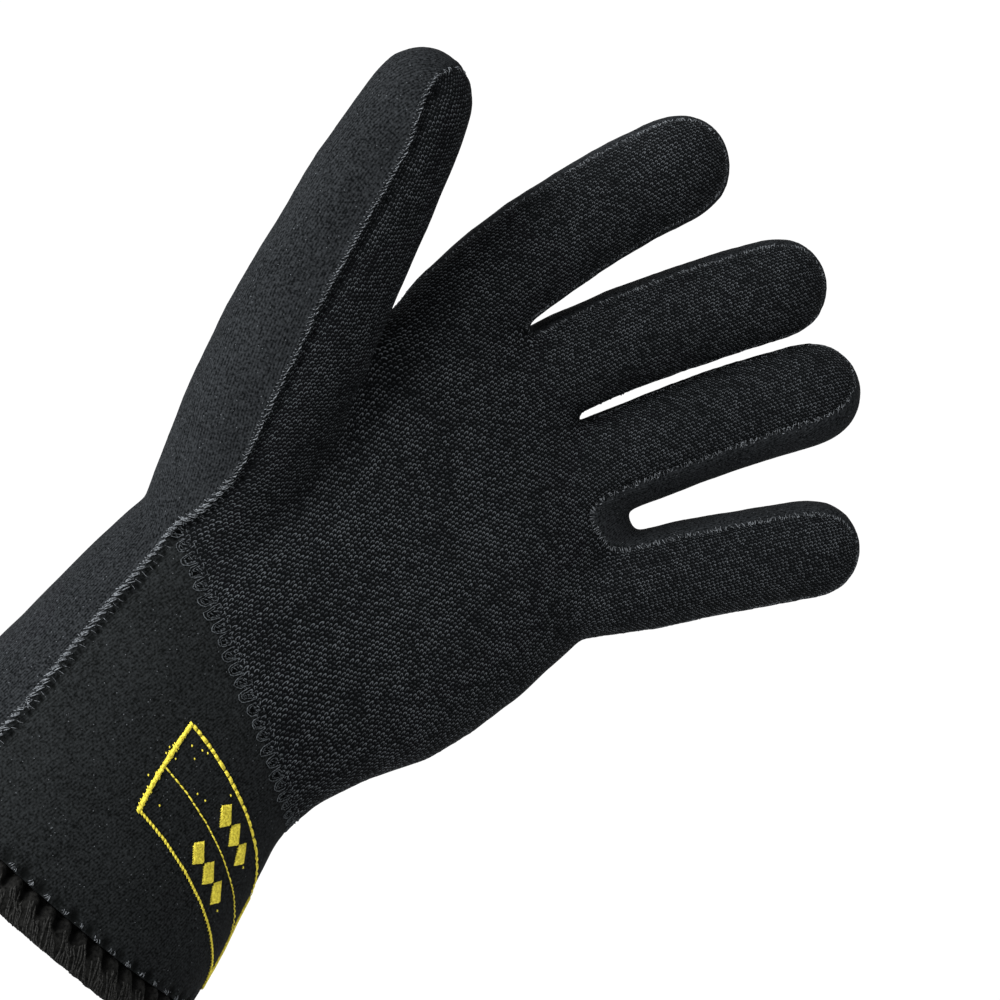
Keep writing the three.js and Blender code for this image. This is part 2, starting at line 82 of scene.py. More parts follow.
# The middle lines of body and digits: where each starts in mm, its length, its lean to +X and
# curl to the palm in degrees at both ends, how far up it comes free of the body, and its radius
LINES = {
    "body": dict(root=(-7.3, 0, 64), length=145, lean=(9.5, 9.5), curl=(-1, -1),
                 free=0, radius=38),
    "index": dict(root=(-28.1, 1.4, 183.7), length=113, lean=(0, 22), curl=(-1, 13),
                  free=0, radius=14.7),
    "middle": dict(root=(-3.6, 2.8, 183.3), length=119, lean=(16, 31), curl=(-1, 14),
                   free=0, radius=14.5),
    "ring": dict(root=(25.5, 2.3, 176.1), length=113, lean=(21, 30), curl=(0, 16),
                 free=0, radius=14.7),
    "little": dict(root=(57.8, 1.4, 168.0), length=92, lean=(32, 37), curl=(2, 18),
                   free=0, radius=14.1),
    "thumb": dict(root=(-30.0, -2.8, 92.6), length=161, lean=(-23, -17), curl=(6, 9),
                  free=20, radius=18),
}

# The rounds that lay the cloth flat, which is how the rows of stitches find their places
FLAT_ROUNDS = 700

# Where up the body the heel's stitches give way to the palm's, and over what stretch round a
# digit's free end the rows turn into it
HEEL_FADE = (5 * MM, 75 * MM)
DIGIT_FADE = (-8 * MM, 26 * MM)

# Sizes of a stitch in mm across and along the rows, on each panel: on its body, its digits and
# at the heel of the hand, where the palm's are largest
STITCH_SIZES = {
    BACK: ((0.8, 1.0), (0.8, 1.0), (0.8, 1.0)),
    PALM: ((1.05, 1.5), (0.92, 1.25), (1.4, 2.0)),
    CUFF: ((0.8, 1.0), (0.8, 1.0), (0.8, 1.0)),
}

# A distance that stands for out of reach, how far from a seam the foam feels it, and how far from
# a seam and above the hem the skin is meshed finer
FAR = 1.0
SEAM_REACH = 7 * MM
FINE_REACH = 2.9 * MM
FINE_FOOT = 5 * MM

# The raised chain up the thumb's side of the cuff: where up the seam it thins out and where it
# ends, over what length it fades into a plain seam, and the step of its links
CHAIN_THINS = 112 * MM
CHAIN_END = 235 * MM
CHAIN_FADE = 10 * MM
CHAIN_STEP = 2.25 * MM

# How far from both ends of the long seam its stitches keep
SEAM_MARGIN = 1 * MM

# The step of the wrist seam's loops, the hem's height and the step of its bites, and the cuff's
# foot: half its width and depth, and the power of its curve, which is 2 for an ellipse
LOOP_STEP = 4.0 * MM
HEM_HEIGHT = 9.6 * MM
HEM_STEP = 5.9 * MM
FOOT_WIDE = 57 * MM
FOOT_DEEP = 38 * MM
FOOT_POWER = 2.1

# The foam beside a seam, in mm: rows of how much it rises, how far across that lies, half width.
# A plain seam has the same on both sides
PLAIN_RELIEF = ((-0.5, 0.0, 0.9), (0.25, 2.6, 1.3))
CHAIN_RELIEF = ((0.45, 0.4, 1.2), (-0.35, -2.2, 1.1))
WRIST_RELIEF = ((-0.35, 0.0, 2.2),)

# Needle pits in the foam: how deep, and for each row how far across the seam it lies, the half
# length and half width of a pit, and its slant
PIT_DEPTH = 0.75 * MM
CHAIN_PITS = dict(centre=-2.1 * MM, reach=(0.7 * MM, 0.9 * MM), lean=0.3)
WRIST_PITS = dict(centre=-0.4 * MM, reach=(1.0 * MM, 1.5 * MM), lean=0.0)
HEM_PITS = dict(centre=1.7 * MM, reach=(1.5 * MM, 1.9 * MM), lean=-0.3)

# Uneven swells of worn foam: height and size in mm
SWELLS = ((0.28, 16), (0.1, 6))

# Creases in the foam, and last the flattened sides of middle and ring finger: place in mm,
# direction, half length, half width and depth in mm
DENTS = (
    ((-40, -20, 78), (-0.3, -0.2, 0.9), 12, 2.2, 0.5),
    ((-44, -8, 72), (-0.2, 0.1, 1.0), 14, 2.5, 0.5),
    ((-45, 4, 80), (-0.1, 0.0, 1.0), 12, 2.5, 0.4),
    ((62, -10, 172), (0.75, 0.0, -0.65), 9, 1.6, 0.6),
    ((-36, -14, 160), (0.3, 0.2, 1.0), 16, 4.0, 0.8),
    ((27, 0, 220), (0.38, 0.0, 0.93), 20, 8.0, 0.8),
)

# The embroidered frame: its length and height in mm, and three lines of places on the cuff in mm,
# each with the same step
FRAME_LENGTH = 62
FRAME_HEIGHT = 25.5
FRAME_STEP = FRAME_LENGTH / 6
FRAME_GRID = (
    ((-10.3, -29.7, 66.0), (0.0, -29.7, 64.6), (10.2, -28.5, 62.2), (20.3, -25.7, 58.7),
     (29.9, -21.0, 54.0), (38.4, -14.6, 48.0), (44.5, -6.8, 41.0)),
    ((-6.9, -31.0, 53.2), (3.7, -30.6, 51.9), (14.2, -28.9, 49.4), (24.6, -25.8, 45.8),
     (34.1, -21.2, 41.1), (42.3, -15.1, 35.2), (48.5, -7.8, 28.3)),
    ((-2.4, -32.2, 40.5), (8.1, -31.6, 39.1), (18.5, -29.8, 36.6), (28.6, -26.7, 33.0),
     (38.0, -22.2, 28.3), (46.1, -16.2, 22.5), (52.1, -8.7, 15.5)),
)

# How far in mm the frame's near end lies from the grid's, along it and down it, and how much less
# along it at the foot
FRAME_SHIFT = (2.7, 0.8, 2.8)

# The plain diamonds in the frame: their height in it and their places along it, and half their
# length and height, all in mm
DIAMONDS = ((FRAME_HEIGHT / 4, (24, 30.5, 37)), (3 * FRAME_HEIGHT / 4, (22, 28.5, 35)))
DIAMOND_LONG = 2.9
DIAMOND_HIGH = 3.7

# Where a needle pulled a loose end through, in mm along the frame and down it
LOOSE_ENDS = (
    (3.5, 3.6), (6.8, 2.2), (6.2, 5.2), (8.6, 1.4), (12.4, 10.2), (4.5, 20.4), (-2.4, 17.5),
    (-1.6, 8.4), (-1.5, 10.1), (1.6, 9.2), (15.5, 9.4), (22.0, 2.0), (41.0, 6.5), (39.0, 20.5),
)


def pick(*pieces):
    """Selects these pieces alone, the first one active."""
    bpy.ops.object.select_all(action="DESELECT")
    for piece in pieces:
        piece.select_set(True)
    bpy.context.view_layer.objects.active = pieces[0]


def finish_with(piece, kind, **settings):
    """Puts a modifier on a piece and applies it."""
    pick(piece)
    bpy.ops.object.modifier_add(type=kind)
    modifier = piece.modifiers[-1]
    for name, value in settings.items():
        setattr(modifier, name, value)
    bpy.ops.object.modifier_apply(modifier=modifier.name)


def points_of(piece):
    points = np.empty(len(piece.data.vertices) * 3)
    piece.data.vertices.foreach_get("co", points)
    return points.reshape(-1, 3)


def normals_of(piece):
    normals = np.empty(len(piece.data.vertices) * 3)
    piece.data.vertices.foreach_get("normal", normals)
    return normals.reshape(-1, 3)


def set_points(piece, points):
    piece.data.vertices.foreach_set("co", np.asarray(points, dtype=float).ravel())
    piece.data.update()


def edges_of(piece):
    edges = np.empty(len(piece.data.edges) * 2, dtype=int)
    piece.data.edges.foreach_get("vertices", edges)
    return edges.reshape(-1, 2)


def surface_of(piece):
    """A search tree over a piece's faces."""
    corners = [vertex.co for vertex in piece.data.vertices]
    return BVHTree.FromPolygons(corners, [face.vertices for face in piece.data.polygons])


def averaged(values, edges, times):
    """Values at the vertices, each averaged with its neighbours' a few times."""
    size = len(values)
    count = np.maximum(np.bincount(edges.ravel(), minlength=size), 1)
    for _ in range(times):
        total = np.bincount(edges[:, 0], values[edges[:, 1]], size)
        total += np.bincount(edges[:, 1], values[edges[:, 0]], size)
        values = 0.5 * values + 0.5 * total / count
    return values


def averaged_vectors(vectors, edges, times):
    """Vectors at the vertices, averaged in the same way."""
    return np.stack([averaged(vectors[:, k], edges, times) for k in range(3)], axis=1)


def smoothstep(low, high, value):
    """A share that goes softly from 0 at low to 1 at high."""
    share = np.clip((value - low) / (high - low), 0, 1)
    return share * share * (3 - 2 * share)


# The smooth skin of the whole glove


def panel_copy(node):
    """A closed copy of one of the frame's panels, grown enough to meet its neighbours."""
    copy = bpy.data.objects.new(node + "_copy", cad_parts[node].data.copy())
    bpy.context.scene.collection.objects.link(copy)
    pick(copy)
    bpy.ops.object.mode_set(mode="EDIT")
    bpy.ops.mesh.select_all(action="SELECT")
    bpy.ops.mesh.remove_doubles(threshold=0.01 * MM)
    bpy.ops.object.mode_set(mode="OBJECT")
    points = points_of(copy)
    lowest = points[:, 2] < CUFF_FOOT
    points[lowest, 2] -= FOOT_SPARE
    points[lowest, :2] *= FOOT_FLARE
    set_points(copy, points)
    finish_with(copy, "DISPLACE", mid_level=0, strength=COPY_GROWTH)
    return copy


def make_skin():
    """The outer surface of cuff, palm, back and digits as one open sheet of even quads."""
    copies = [panel_copy(node) for node in PANELS]
    pick(*copies)
    bpy.ops.object.join()
    skin = copies[0]
    finish_with(skin, "REMESH", mode="VOXEL", voxel_size=FINE_STEP)
    finish_with(skin, "DISPLACE", mid_level=0, strength=-SKIN_SHRINK)
    finish_with(skin, "REMESH", mode="VOXEL", voxel_size=SKIN_STEP)
    finish_with(skin, "SMOOTH", factor=0.5, iterations=SKIN_SMOOTHING)
    finish_with(skin, "DISPLACE", mid_level=0, strength=SKIN_PUSH + SKIN_SHRINK)
    pick(skin)
    bpy.ops.object.mode_set(mode="EDIT")
    bpy.ops.mesh.select_all(action="SELECT")
    bpy.ops.mesh.bisect(plane_co=(0, 0, CUFF_FOOT), plane_no=(0, 0, 1), clear_inner=True)
    bpy.ops.mesh.separate(type="LOOSE")
    bpy.ops.object.mode_set(mode="OBJECT")
    parts = list(bpy.context.selected_objects)
    parts.sort(key=lambda part: part.dimensions.x * part.dimensions.z, reverse=True)
    for part in parts[1:]:
        bpy.data.objects.remove(part)
    parts[0].name = "skin"
    return parts[0]


def seam_fields(skin):
    """Two fields over the skin, in metres: above 0 on the back, and above 0 on the palm."""
    trees = [surface_of(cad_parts[node]) for node in PANELS]
    points = points_of(skin)
    away = np.array([[tree.find_nearest(Vector(p))[3] for tree in trees] for p in points])
    edges = edges_of(skin)

    def signed(near, far):
        gap = far - near
        least = np.minimum(near, far)
        return np.sign(gap) * np.sqrt(gap**2 + 2 * np.abs(gap) * least)

    back = signed(away[:, 0], np.minimum(away[:, 1], away[:, 2]))
    palm = signed(away[:, 1], away[:, 2])
    limit = 12 * MM
    return [averaged(np.clip(f, -limit, limit), edges, FIELD_SMOOTHING) for f in (back, palm)]


def slopes(values, points, edges):
    """The slope of a field at each vertex, from its neighbours' values."""
    step = points[edges[:, 1]] - points[edges[:, 0]]
    rise = values[edges[:, 1]] - values[edges[:, 0]]
    share = (rise / (step**2).sum(1))[:, None] * step
    total = np.zeros_like(points)
    count = np.zeros(len(points))
    for side in (0, 1):
        np.add.at(total, edges[:, side], share)
        np.add.at(count, edges[:, side], 1)
    return 2 * total / count[:, None]


def untangle(panel, faces, count):
    """Gives a vertex where panels touch only by corners to the panel that has more of it."""
    around = [[] for _ in range(count)]
    for i, corners in enumerate(faces):
        for k, corner in enumerate(corners):
            around[corner].append((i, corners[k - 1], corners[(k + 1) % len(corners)]))
    for _ in range(6):
        changed = 0
        for found in around:
            if len({panel[i] for i, _, _ in found}) < 2:
                continue
            beside = {}
            for i, one, other in found:
                for end in (one, other):
                    beside.setdefault(end, []).append(panel[i])
            if any(len(labels) < 2 for labels in beside.values()):
                continue
            changes = sum(labels[0] != labels[1] for labels in beside.values())
            if changes > len({panel[i] for i, _, _ in found}):
                labels = [panel[i] for i, _, _ in found]
                winner = max(sorted(set(labels)), key=labels.count)
                for i, _, _ in found:
                    changed += panel[i] != winner
                    panel[i] = winner
        if not changed:
            break
    return panel


def thumb_seam_shift(points):
    """How far the seam up the thumb lies further round towards the palm than on the part."""
    walked, _, _ = near_line("thumb", points)
    line = LINES["thumb"]
    lean = math.tan(math.radians(sum(line["lean"]) / 2))
    curl = math.tan(math.radians(sum(line["curl"]) / 2))
    up = points[:, 2] - line["root"][2] * MM
    beside = points[:, 0] - line["root"][0] * MM - up * lean
    behind = points[:, 1] - line["root"][1] * MM + up * curl
    outer = smoothstep(0, 8 * MM, THUMB_SIDE[0] * beside + THUMB_SIDE[1] * behind)
    begin = smoothstep(*THUMB_BEGIN, walked)
    end = 1 - smoothstep(*THUMB_END, walked)
    return THUMB_SHIFT * outer * begin * end


def cut_pattern(skin):
    """Gives each face of the skin its panel, and draws the borders onto smooth seam lines."""
    back, palm = seam_fields(skin)
    back += thumb_seam_shift(points_of(skin))
    faces = [list(face.vertices) for face in skin.data.polygons]
    panel = np.zeros(len(faces), dtype=int)
    for i, corners in enumerate(faces):
        if back[corners].mean() < 0:
            panel[i] = PALM if palm[corners].mean() > 0 else CUFF
    edges = edges_of(skin)
    points = points_of(skin)
    panel = untangle(panel, faces, len(points))
    touching = [set() for _ in points]
    for i, corners in enumerate(faces):
        for corner in corners:
            touching[corner].add(int(panel[i]))
    for field, one, others in ((back, BACK, {PALM, CUFF}), (palm, PALM, {CUFF})):
        slope = slopes(field, points, edges)
        for i, found in enumerate(touching):
            if one in found and found & others:
                steep = max((slope[i] ** 2).sum(), 0.25)
                move = -field[i] * slope[i] / steep
                points[i] += move * min(1, BORDER_MOVE / max(np.linalg.norm(move), 1e-9))
    border = np.array([len(found) > 1 for found in touching])
    near = averaged(border.astype(float), edges, 4) > 0.001
    free = near & ~border & (points[:, 2] > CUFF_FOOT + 0.1 * MM)
    for _ in range(3):
        points[free] = averaged_vectors(points, edges, 1)[free]
    set_points(skin, points)
    skin.data.polygons.foreach_set("material_index", panel)


class Seam:
    """A smooth line on the surface, read by the distance walked along it."""

    def __init__(self, points, tree):
        self.points = points
        self.tree = tree
        steps = np.linalg.norm(np.diff(points, axis=0), axis=1)
        self.walked = np.concatenate([[0], np.cumsum(steps)])
        self.length = self.walked[-1]

    def spot(self, distance):
        return Vector([np.interp(distance, self.walked, self.points[:, k]) for k in range(3)])

    def place(self, distance, across=0.0, lift=0.0):
        """A point beside the seam, lifted off the surface, and which way is along, across, out."""
        here = self.spot(distance)
        ahead = self.spot(distance + 0.8 * MM) - self.spot(distance - 0.8 * MM)
        out = self.tree.find_nearest(here)[1]
        along = (ahead - out * ahead.dot(out)).normalized()
        side = out.cross(along)
        spot, out, _, _ = self.tree.find_nearest(here + side * across)
        return spot + out * lift, along, side, out


def longest_chain(edges):
    """The longest path through edges that are joined end to end, as vertex numbers."""
    beside = {}
    for a, b in edges:
        beside.setdefault(a, []).append(b)
        beside.setdefault(b, []).append(a)
    best = []
    seen = set()
    for start in sorted(beside, key=lambda v: (len(beside[v]), v)):
        if start in seen:
            continue
        path = [start]
        seen.add(start)
        while True:
            onward = [v for v in beside[path[-1]] if v not in seen]
            if not onward:
                break
            path.append(onward[0])
            seen.add(onward[0])
        if len(path) > len(best):
            best = path
    return best


def border_chain(skin, one, others):
    """The vertices along the border between one panel and others, in order."""
    sides = {}
    for face in skin.data.polygons:
        for key in face.edge_keys:
            sides.setdefault(key, []).append(face.material_index)
    border = [
        key for key, found in sides.items()
        if len(found) == 2 and one in found and found[0] != found[1] and set(found) & set(others)
    ]
    return longest_chain(border)


def seam_along(skin, one, others):
    """The smooth seam along a border of panels, walked from the thumb's side on."""
    line = points_of(skin)[border_chain(skin, one, others)]
    for _ in range(SEAM_SMOOTHING):
        line[1:-1] = 0.5 * line[1:-1] + 0.25 * (line[2:] + line[:-2])
    if line[0][0] > line[-1][0]:
        line = line[::-1]
    return Seam(line, skin_tree)


# The knit's rows, which run up the hand and bend into each digit


def near_line(name, points):
    """How far along a middle line points lie, how far away from it, and its direction there."""
    row = LINES[name]
    count = 60
    step = row["length"] * MM / count
    place = np.array(row["root"]) * MM
    places = []
    ways = []
    for i in range(count + 1):
        lean, curl = (math.radians(a + (b - a) * i / count) for a, b in (row["lean"], row["curl"]))
        flat = math.cos(curl)
        way = np.array([math.sin(lean) * flat, -math.sin(curl), math.cos(lean) * flat])
        places.append(place)
        ways.append(way)
        place = place + way * step
    places = np.array(places)
    ways = np.array(ways)
    near = np.linalg.norm(points[:, None, :] - places[None], axis=2).argmin(1)
    offset = points - places[near]
    ahead = (offset * ways[near]).sum(1)
    away = np.linalg.norm(offset - ahead[:, None] * ways[near], axis=1)
    return near * step + ahead, away, ways[near]


def unit(vectors):
    return vectors / np.maximum(np.linalg.norm(vectors, axis=1), 1e-12)[:, None]


def along_surface(ways, normals):
    """Directions, turned into the surface."""
    return unit(ways - normals * (ways * normals).sum(1)[:, None])


def knit_rows(points, normals, edges):
    """At each vertex: the rows' direction, how near the heel it is and how far into a digit."""
    walked, _, ways = near_line("body", points)
    heel = 1 - smoothstep(*HEEL_FADE, walked)
    digit = np.zeros(len(points))
    for name, row in LINES.items():
        if name == "body":
            continue
        along, away, digit_ways = near_line(name, points)
        free = row["free"] * MM
        hold = smoothstep(free + DIGIT_FADE[0], free + DIGIT_FADE[1], along)
        hold *= np.exp(-((away / (1.25 * row["radius"] * MM)) ** 6))
        ways = ways + (digit_ways - ways) * hold[:, None]
        digit = np.maximum(digit, hold)
    for _ in range(6):
        ways = along_surface(averaged_vectors(ways, edges, 3), normals)
    return ways, heel, digit


def laid_flat(edges, rises, size):
    """Values at the vertices whose change along each edge comes closest to the given rises."""
    start, end = edges.T

    def gathered(flow):
        return np.bincount(end, flow, size) - np.bincount(start, flow, size)

    values = np.zeros(size)
    rest = gathered(rises)
    way = rest.copy()
    power = rest @ rest
    for _ in range(FLAT_ROUNDS):
        flow = gathered(way[end] - way[start])
        step = power / (way @ flow)
        values += step * way
        rest -= step * flow
        fresh = rest @ rest
        way = rest + (fresh / power) * way
        power = fresh
    return values


def corner_numbers(mesh):
    """For each corner of each face: its vertex, its edge and its panel."""
    vertex, edge = (np.empty(len(mesh.loops), dtype=int) for _ in range(2))
    mesh.loops.foreach_get("vertex_index", vertex)
    mesh.loops.foreach_get("edge_index", edge)
    size, panel = (np.empty(len(mesh.polygons), dtype=int) for _ in range(2))
    mesh.polygons.foreach_get("loop_total", size)
    mesh.polygons.foreach_get("material_index", panel)
    return vertex, edge, np.repeat(panel, size)


def map_stitches(skin):
    """Counts the knit's stitches across and along its rows, as each panel's UV map."""
    points = points_of(skin)
    normals = normals_of(skin)
    edges = edges_of(skin)
    ways, heel, digit = knit_rows(points, normals, edges)
    sides = np.cross(ways, normals)
    vertex, edge, panel = corner_numbers(skin.data)
    values = np.zeros((len(vertex), 2))
    for number in (BACK, PALM, CUFF):
        size = [np.full(len(points), value) for value in STITCH_SIZES[number][0]]
        for k in (0, 1):
            size[k] += (STITCH_SIZES[number][1][k] - size[k]) * digit
            size[k] += (STITCH_SIZES[number][2][k] - size[k]) * heel
        held = panel == number
        own = edges[np.unique(edge[held])]
        step = points[own[:, 1]] - points[own[:, 0]]
        for k, directions in enumerate((sides, ways)):
            per_metre = directions / (size[k] * MM)[:, None]
            rises = (step * (per_metre[own[:, 0]] + per_metre[own[:, 1]])).sum(1) / 2
            values[held, k] = laid_flat(own, rises, len(points))[vertex[held]]
    skin.data.uv_layers.new(name="stitches").data.foreach_set("uv", values.ravel())


# The skin's relief: seams that are drawn in with needle pits beside them, and worn foam


def seam_distances(points, seam, reach):
    """How far along a seam and how far across it each point lies, for those within reach."""
    stations = np.linspace(0, seam.length, int(seam.length / (0.7 * MM)))
    spots = np.array([seam.spot(s) for s in stations])
    places = [seam.place(s) for s in stations]
    along = np.array([place[1] for place in places])
    side = np.array([place[2] for place in places])
    walked = np.zeros(len(points))
    across = np.full(len(points), FAR)
    cells = {}
    for i, spot in enumerate(np.floor(spots / reach).astype(int)):
        cells.setdefault(tuple(spot), []).append(i)
    around = {}
    for cell, found in cells.items():
        for shift in np.ndindex(3, 3, 3):
            near = (cell[0] + shift[0] - 1, cell[1] + shift[1] - 1, cell[2] + shift[2] - 1)
            around.setdefault(near, []).extend(found)
    around = {cell: np.array(sorted(found)) for cell, found in around.items()}
    for i, cell in enumerate(np.floor(points / reach).astype(int)):
        near = around.get(tuple(cell))
        if near is None:
            continue
        offset = points[i] - spots[near]
        away = (offset**2).sum(1)
        k = away.argmin()
        if away[k] < reach**2:
            walked[i] = stations[near[k]] + offset[k] @ along[near[k]]
            across[i] = math.sqrt(away[k]) * (1 if offset[k] @ side[near[k]] > 0 else -1)
    return walked, across


def bell(value, width):
    """1 at 0, and softly down to nothing past the width on both sides."""
    return np.exp(-((value / width) ** 2))


def beside_seam(across, relief):
    """How much the foam rises at a distance across a seam."""
    return sum(high * MM * bell(across - off * MM, wide * MM) for high, off, wide in relief)


def pits(walked, across, pitch, centre, reach, lean):
    """A row of pits along a seam, each from 0 to 1 deep and a little unlike the next."""
    count = np.floor(walked / pitch)
    depth = 0.75 + 0.25 * np.sin(count * 12.9898) * np.cos(count * 4.1414)
    beside = across - centre
    ahead = (walked / pitch - count - 0.5) * pitch - lean * beside
    return depth * bell(ahead, reach[0]) * bell(beside, reach[1])


def shape_relief(skin):
    """Draws the seams and their pits into the foam, and lets it swell unevenly."""
    points = points_of(skin)
    normals = normals_of(skin)
    walked, across = seam_distances(points, main_seam, SEAM_REACH)
    wrist_walked, wrist_across = seam_distances(points, wrist_seam, SEAM_REACH)
    chain = 1 - smoothstep(CHAIN_END - CHAIN_FADE, CHAIN_END + CHAIN_FADE, walked)
    chain = np.where(np.abs(across) < SEAM_REACH, chain, 0)
    rise = beside_seam(np.abs(across), PLAIN_RELIEF) * (1 - chain)
    rise += beside_seam(across, CHAIN_RELIEF) * chain
    rise += beside_seam(wrist_across, WRIST_RELIEF)
    foot_walked = np.array([foot.walked_at(p) for p in points[:, :2]])
    deep = chain * pits(walked, across, CHAIN_STEP, **CHAIN_PITS)
    deep = deep + pits(wrist_walked, wrist_across, LOOP_STEP, **WRIST_PITS)
    deep = deep + pits(foot_walked, points[:, 2] - HEM_HEIGHT, HEM_STEP, **HEM_PITS)
    rise -= PIT_DEPTH * deep
    for i, point in enumerate(points):
        spot = Vector(point)
        rise[i] += sum(high * MM * noise.noise(spot / (size * MM)) for high, size in SWELLS)
    for place, direction, long, wide, depth in DENTS:
        offset = points - np.array(place) * MM
        way = np.array(direction) / np.linalg.norm(direction)
        ahead = offset @ way
        beside = np.linalg.norm(offset - ahead[:, None] * way, axis=1)
        rise -= depth * MM * bell(ahead, long * MM) * bell(beside, wide * MM)
    set_points(skin, points + normals * rise[:, None])
    # The pits' depth, which the materials darken as painted shade
    attribute = skin.data.attributes.new("pits", "FLOAT", "POINT")
    attribute.data.foreach_set("value", np.clip(deep, 0, 1))
    out = unit(averaged_vectors(normals_of(skin), edges_of(skin), 12))
    attribute = skin.data.attributes.new("out", "FLOAT_VECTOR", "POINT")
    attribute.data.foreach_set("vector", out.ravel())


def refine_seams(skin):
    """Cuts the faces beside the seams and the foot finer, so that they can hold the pits."""
    points = points_of(skin)
    near = np.zeros(len(points), dtype=bool)
    for seam in (main_seam, wrist_seam):
        _, across = seam_distances(points, seam, SEAM_REACH)
        near |= np.abs(across) < FINE_REACH
    near |= points[:, 2] < HEM_HEIGHT + FINE_FOOT
    pick(skin)
    bpy.ops.object.mode_set(mode="EDIT")
    bpy.ops.mesh.select_mode(type="FACE")
    bpy.ops.mesh.select_all(action="DESELECT")
    bpy.ops.object.mode_set(mode="OBJECT")
    for face in skin.data.polygons:
        face.select = all(near[v] for v in face.vertices)
    bpy.ops.object.mode_set(mode="EDIT")
    bpy.ops.mesh.subdivide(number_cuts=2, smoothness=0)
    bpy.ops.mesh.select_all(action="SELECT")
    bpy.ops.mesh.normals_make_consistent(inside=False)
    bpy.ops.object.mode_set(mode="OBJECT")
    set_points(skin, averaged_vectors(points_of(skin), edges_of(skin), 1))


class Foot:
    """The line round the cuff's foot, read by angle or by the distance walked round it."""

    def __init__(self, wide, deep):
        angles = np.linspace(-math.pi, math.pi, 1441)
        power = 2 / FOOT_POWER
        x = wide * np.sign(np.cos(angles)) * np.abs(np.cos(angles)) ** power
        y = deep * np.sign(np.sin(angles)) * np.abs(np.sin(angles)) ** power
        self.turns = np.arctan2(y, x)
        self.turns[0], self.turns[-1] = -math.pi, math.pi
        self.line = np.stack([x, y], axis=1)
        steps = np.linalg.norm(np.diff(self.line, axis=0), axis=1)
        self.walked = np.concatenate([[0], np.cumsum(steps)])
        self.length = self.walked[-1]

    def walked_at(self, spot):
        return np.interp(math.atan2(spot[1], spot[0]), self.turns, self.walked)

    def way(self, distance):
        """The direction out of the cuff's middle, a distance round the foot."""
        distance = distance % self.length
        x, y = (np.interp(distance, self.walked, self.line[:, k]) for k in (0, 1))
        return Vector((x, y, 0))


# Materials


def linear(colour):
    """An sRGB hex colour as linear values."""
    parts = [int(colour[i:i + 2], 16) / 255 for i in (1, 3, 5)]
    return [p / 12.92 if p <= 0.04045 else ((p + 0.055) / 1.055) ** 2.4 for p in parts] + [1]


class Recipe:
    """One material under construction."""

    def __init__(self, name):
        self.material = bpy.data.materials.new(name)
        self.material.use_nodes = True
        self.tree = self.material.node_tree
        self.shader = self.tree.nodes["Principled BSDF"]

    def add(self, kind, *values, sockets=None, output=0, **settings):
        """Adds a node. Values, or other nodes' outputs, go to its sockets by number or by name."""
        node = self.tree.nodes.new("ShaderNode" + kind)
        for name, value in settings.items():
            setattr(node, name, value)
        self.feed(node, {**dict(enumerate(values)), **(sockets or {})})
        return node.outputs[output]

    def feed(self, node, inputs):
        for name, value in inputs.items():
            if isinstance(value, bpy.types.NodeSocket):
                self.tree.links.new(value, node.inputs[name])
            else:
                node.inputs[name].default_value = value

    def finish(self, colour, bump, **constants):
        self.feed(self.shader, {"Base Color": colour, "Normal": bump, **constants})
        return self.material


def soft_spots(place, size, detail=1.0):
    """A noise node's sockets, for soft spots of about this size."""
    return {"Vector": place, "Scale": 0.5 / size, "Detail": detail}


def two_tones(low, high):
    """A mixing node's sockets, for two sRGB hex colours."""
    return {6: linear(low), 7: linear(high)}


def outside_pit_shade(recipe, depth):
    """A share that is 1 on the open cloth and falls inside the needle pits, to paint shade into
    them.
    """
    pit = recipe.add("Attribute", attribute_name="pits", output=2)
    shade = recipe.add("Math", pit, depth, operation="MULTIPLY")
    return recipe.add("Math", 1.0, shade, operation="SUBTRACT", use_clamp=True)


# Dry nylon and polyester: rough, and with hardly any shine of its own
CLOTH = {"Roughness": 0.85, "Specular IOR Level": 0.015, "Sheen Weight": 0.0}


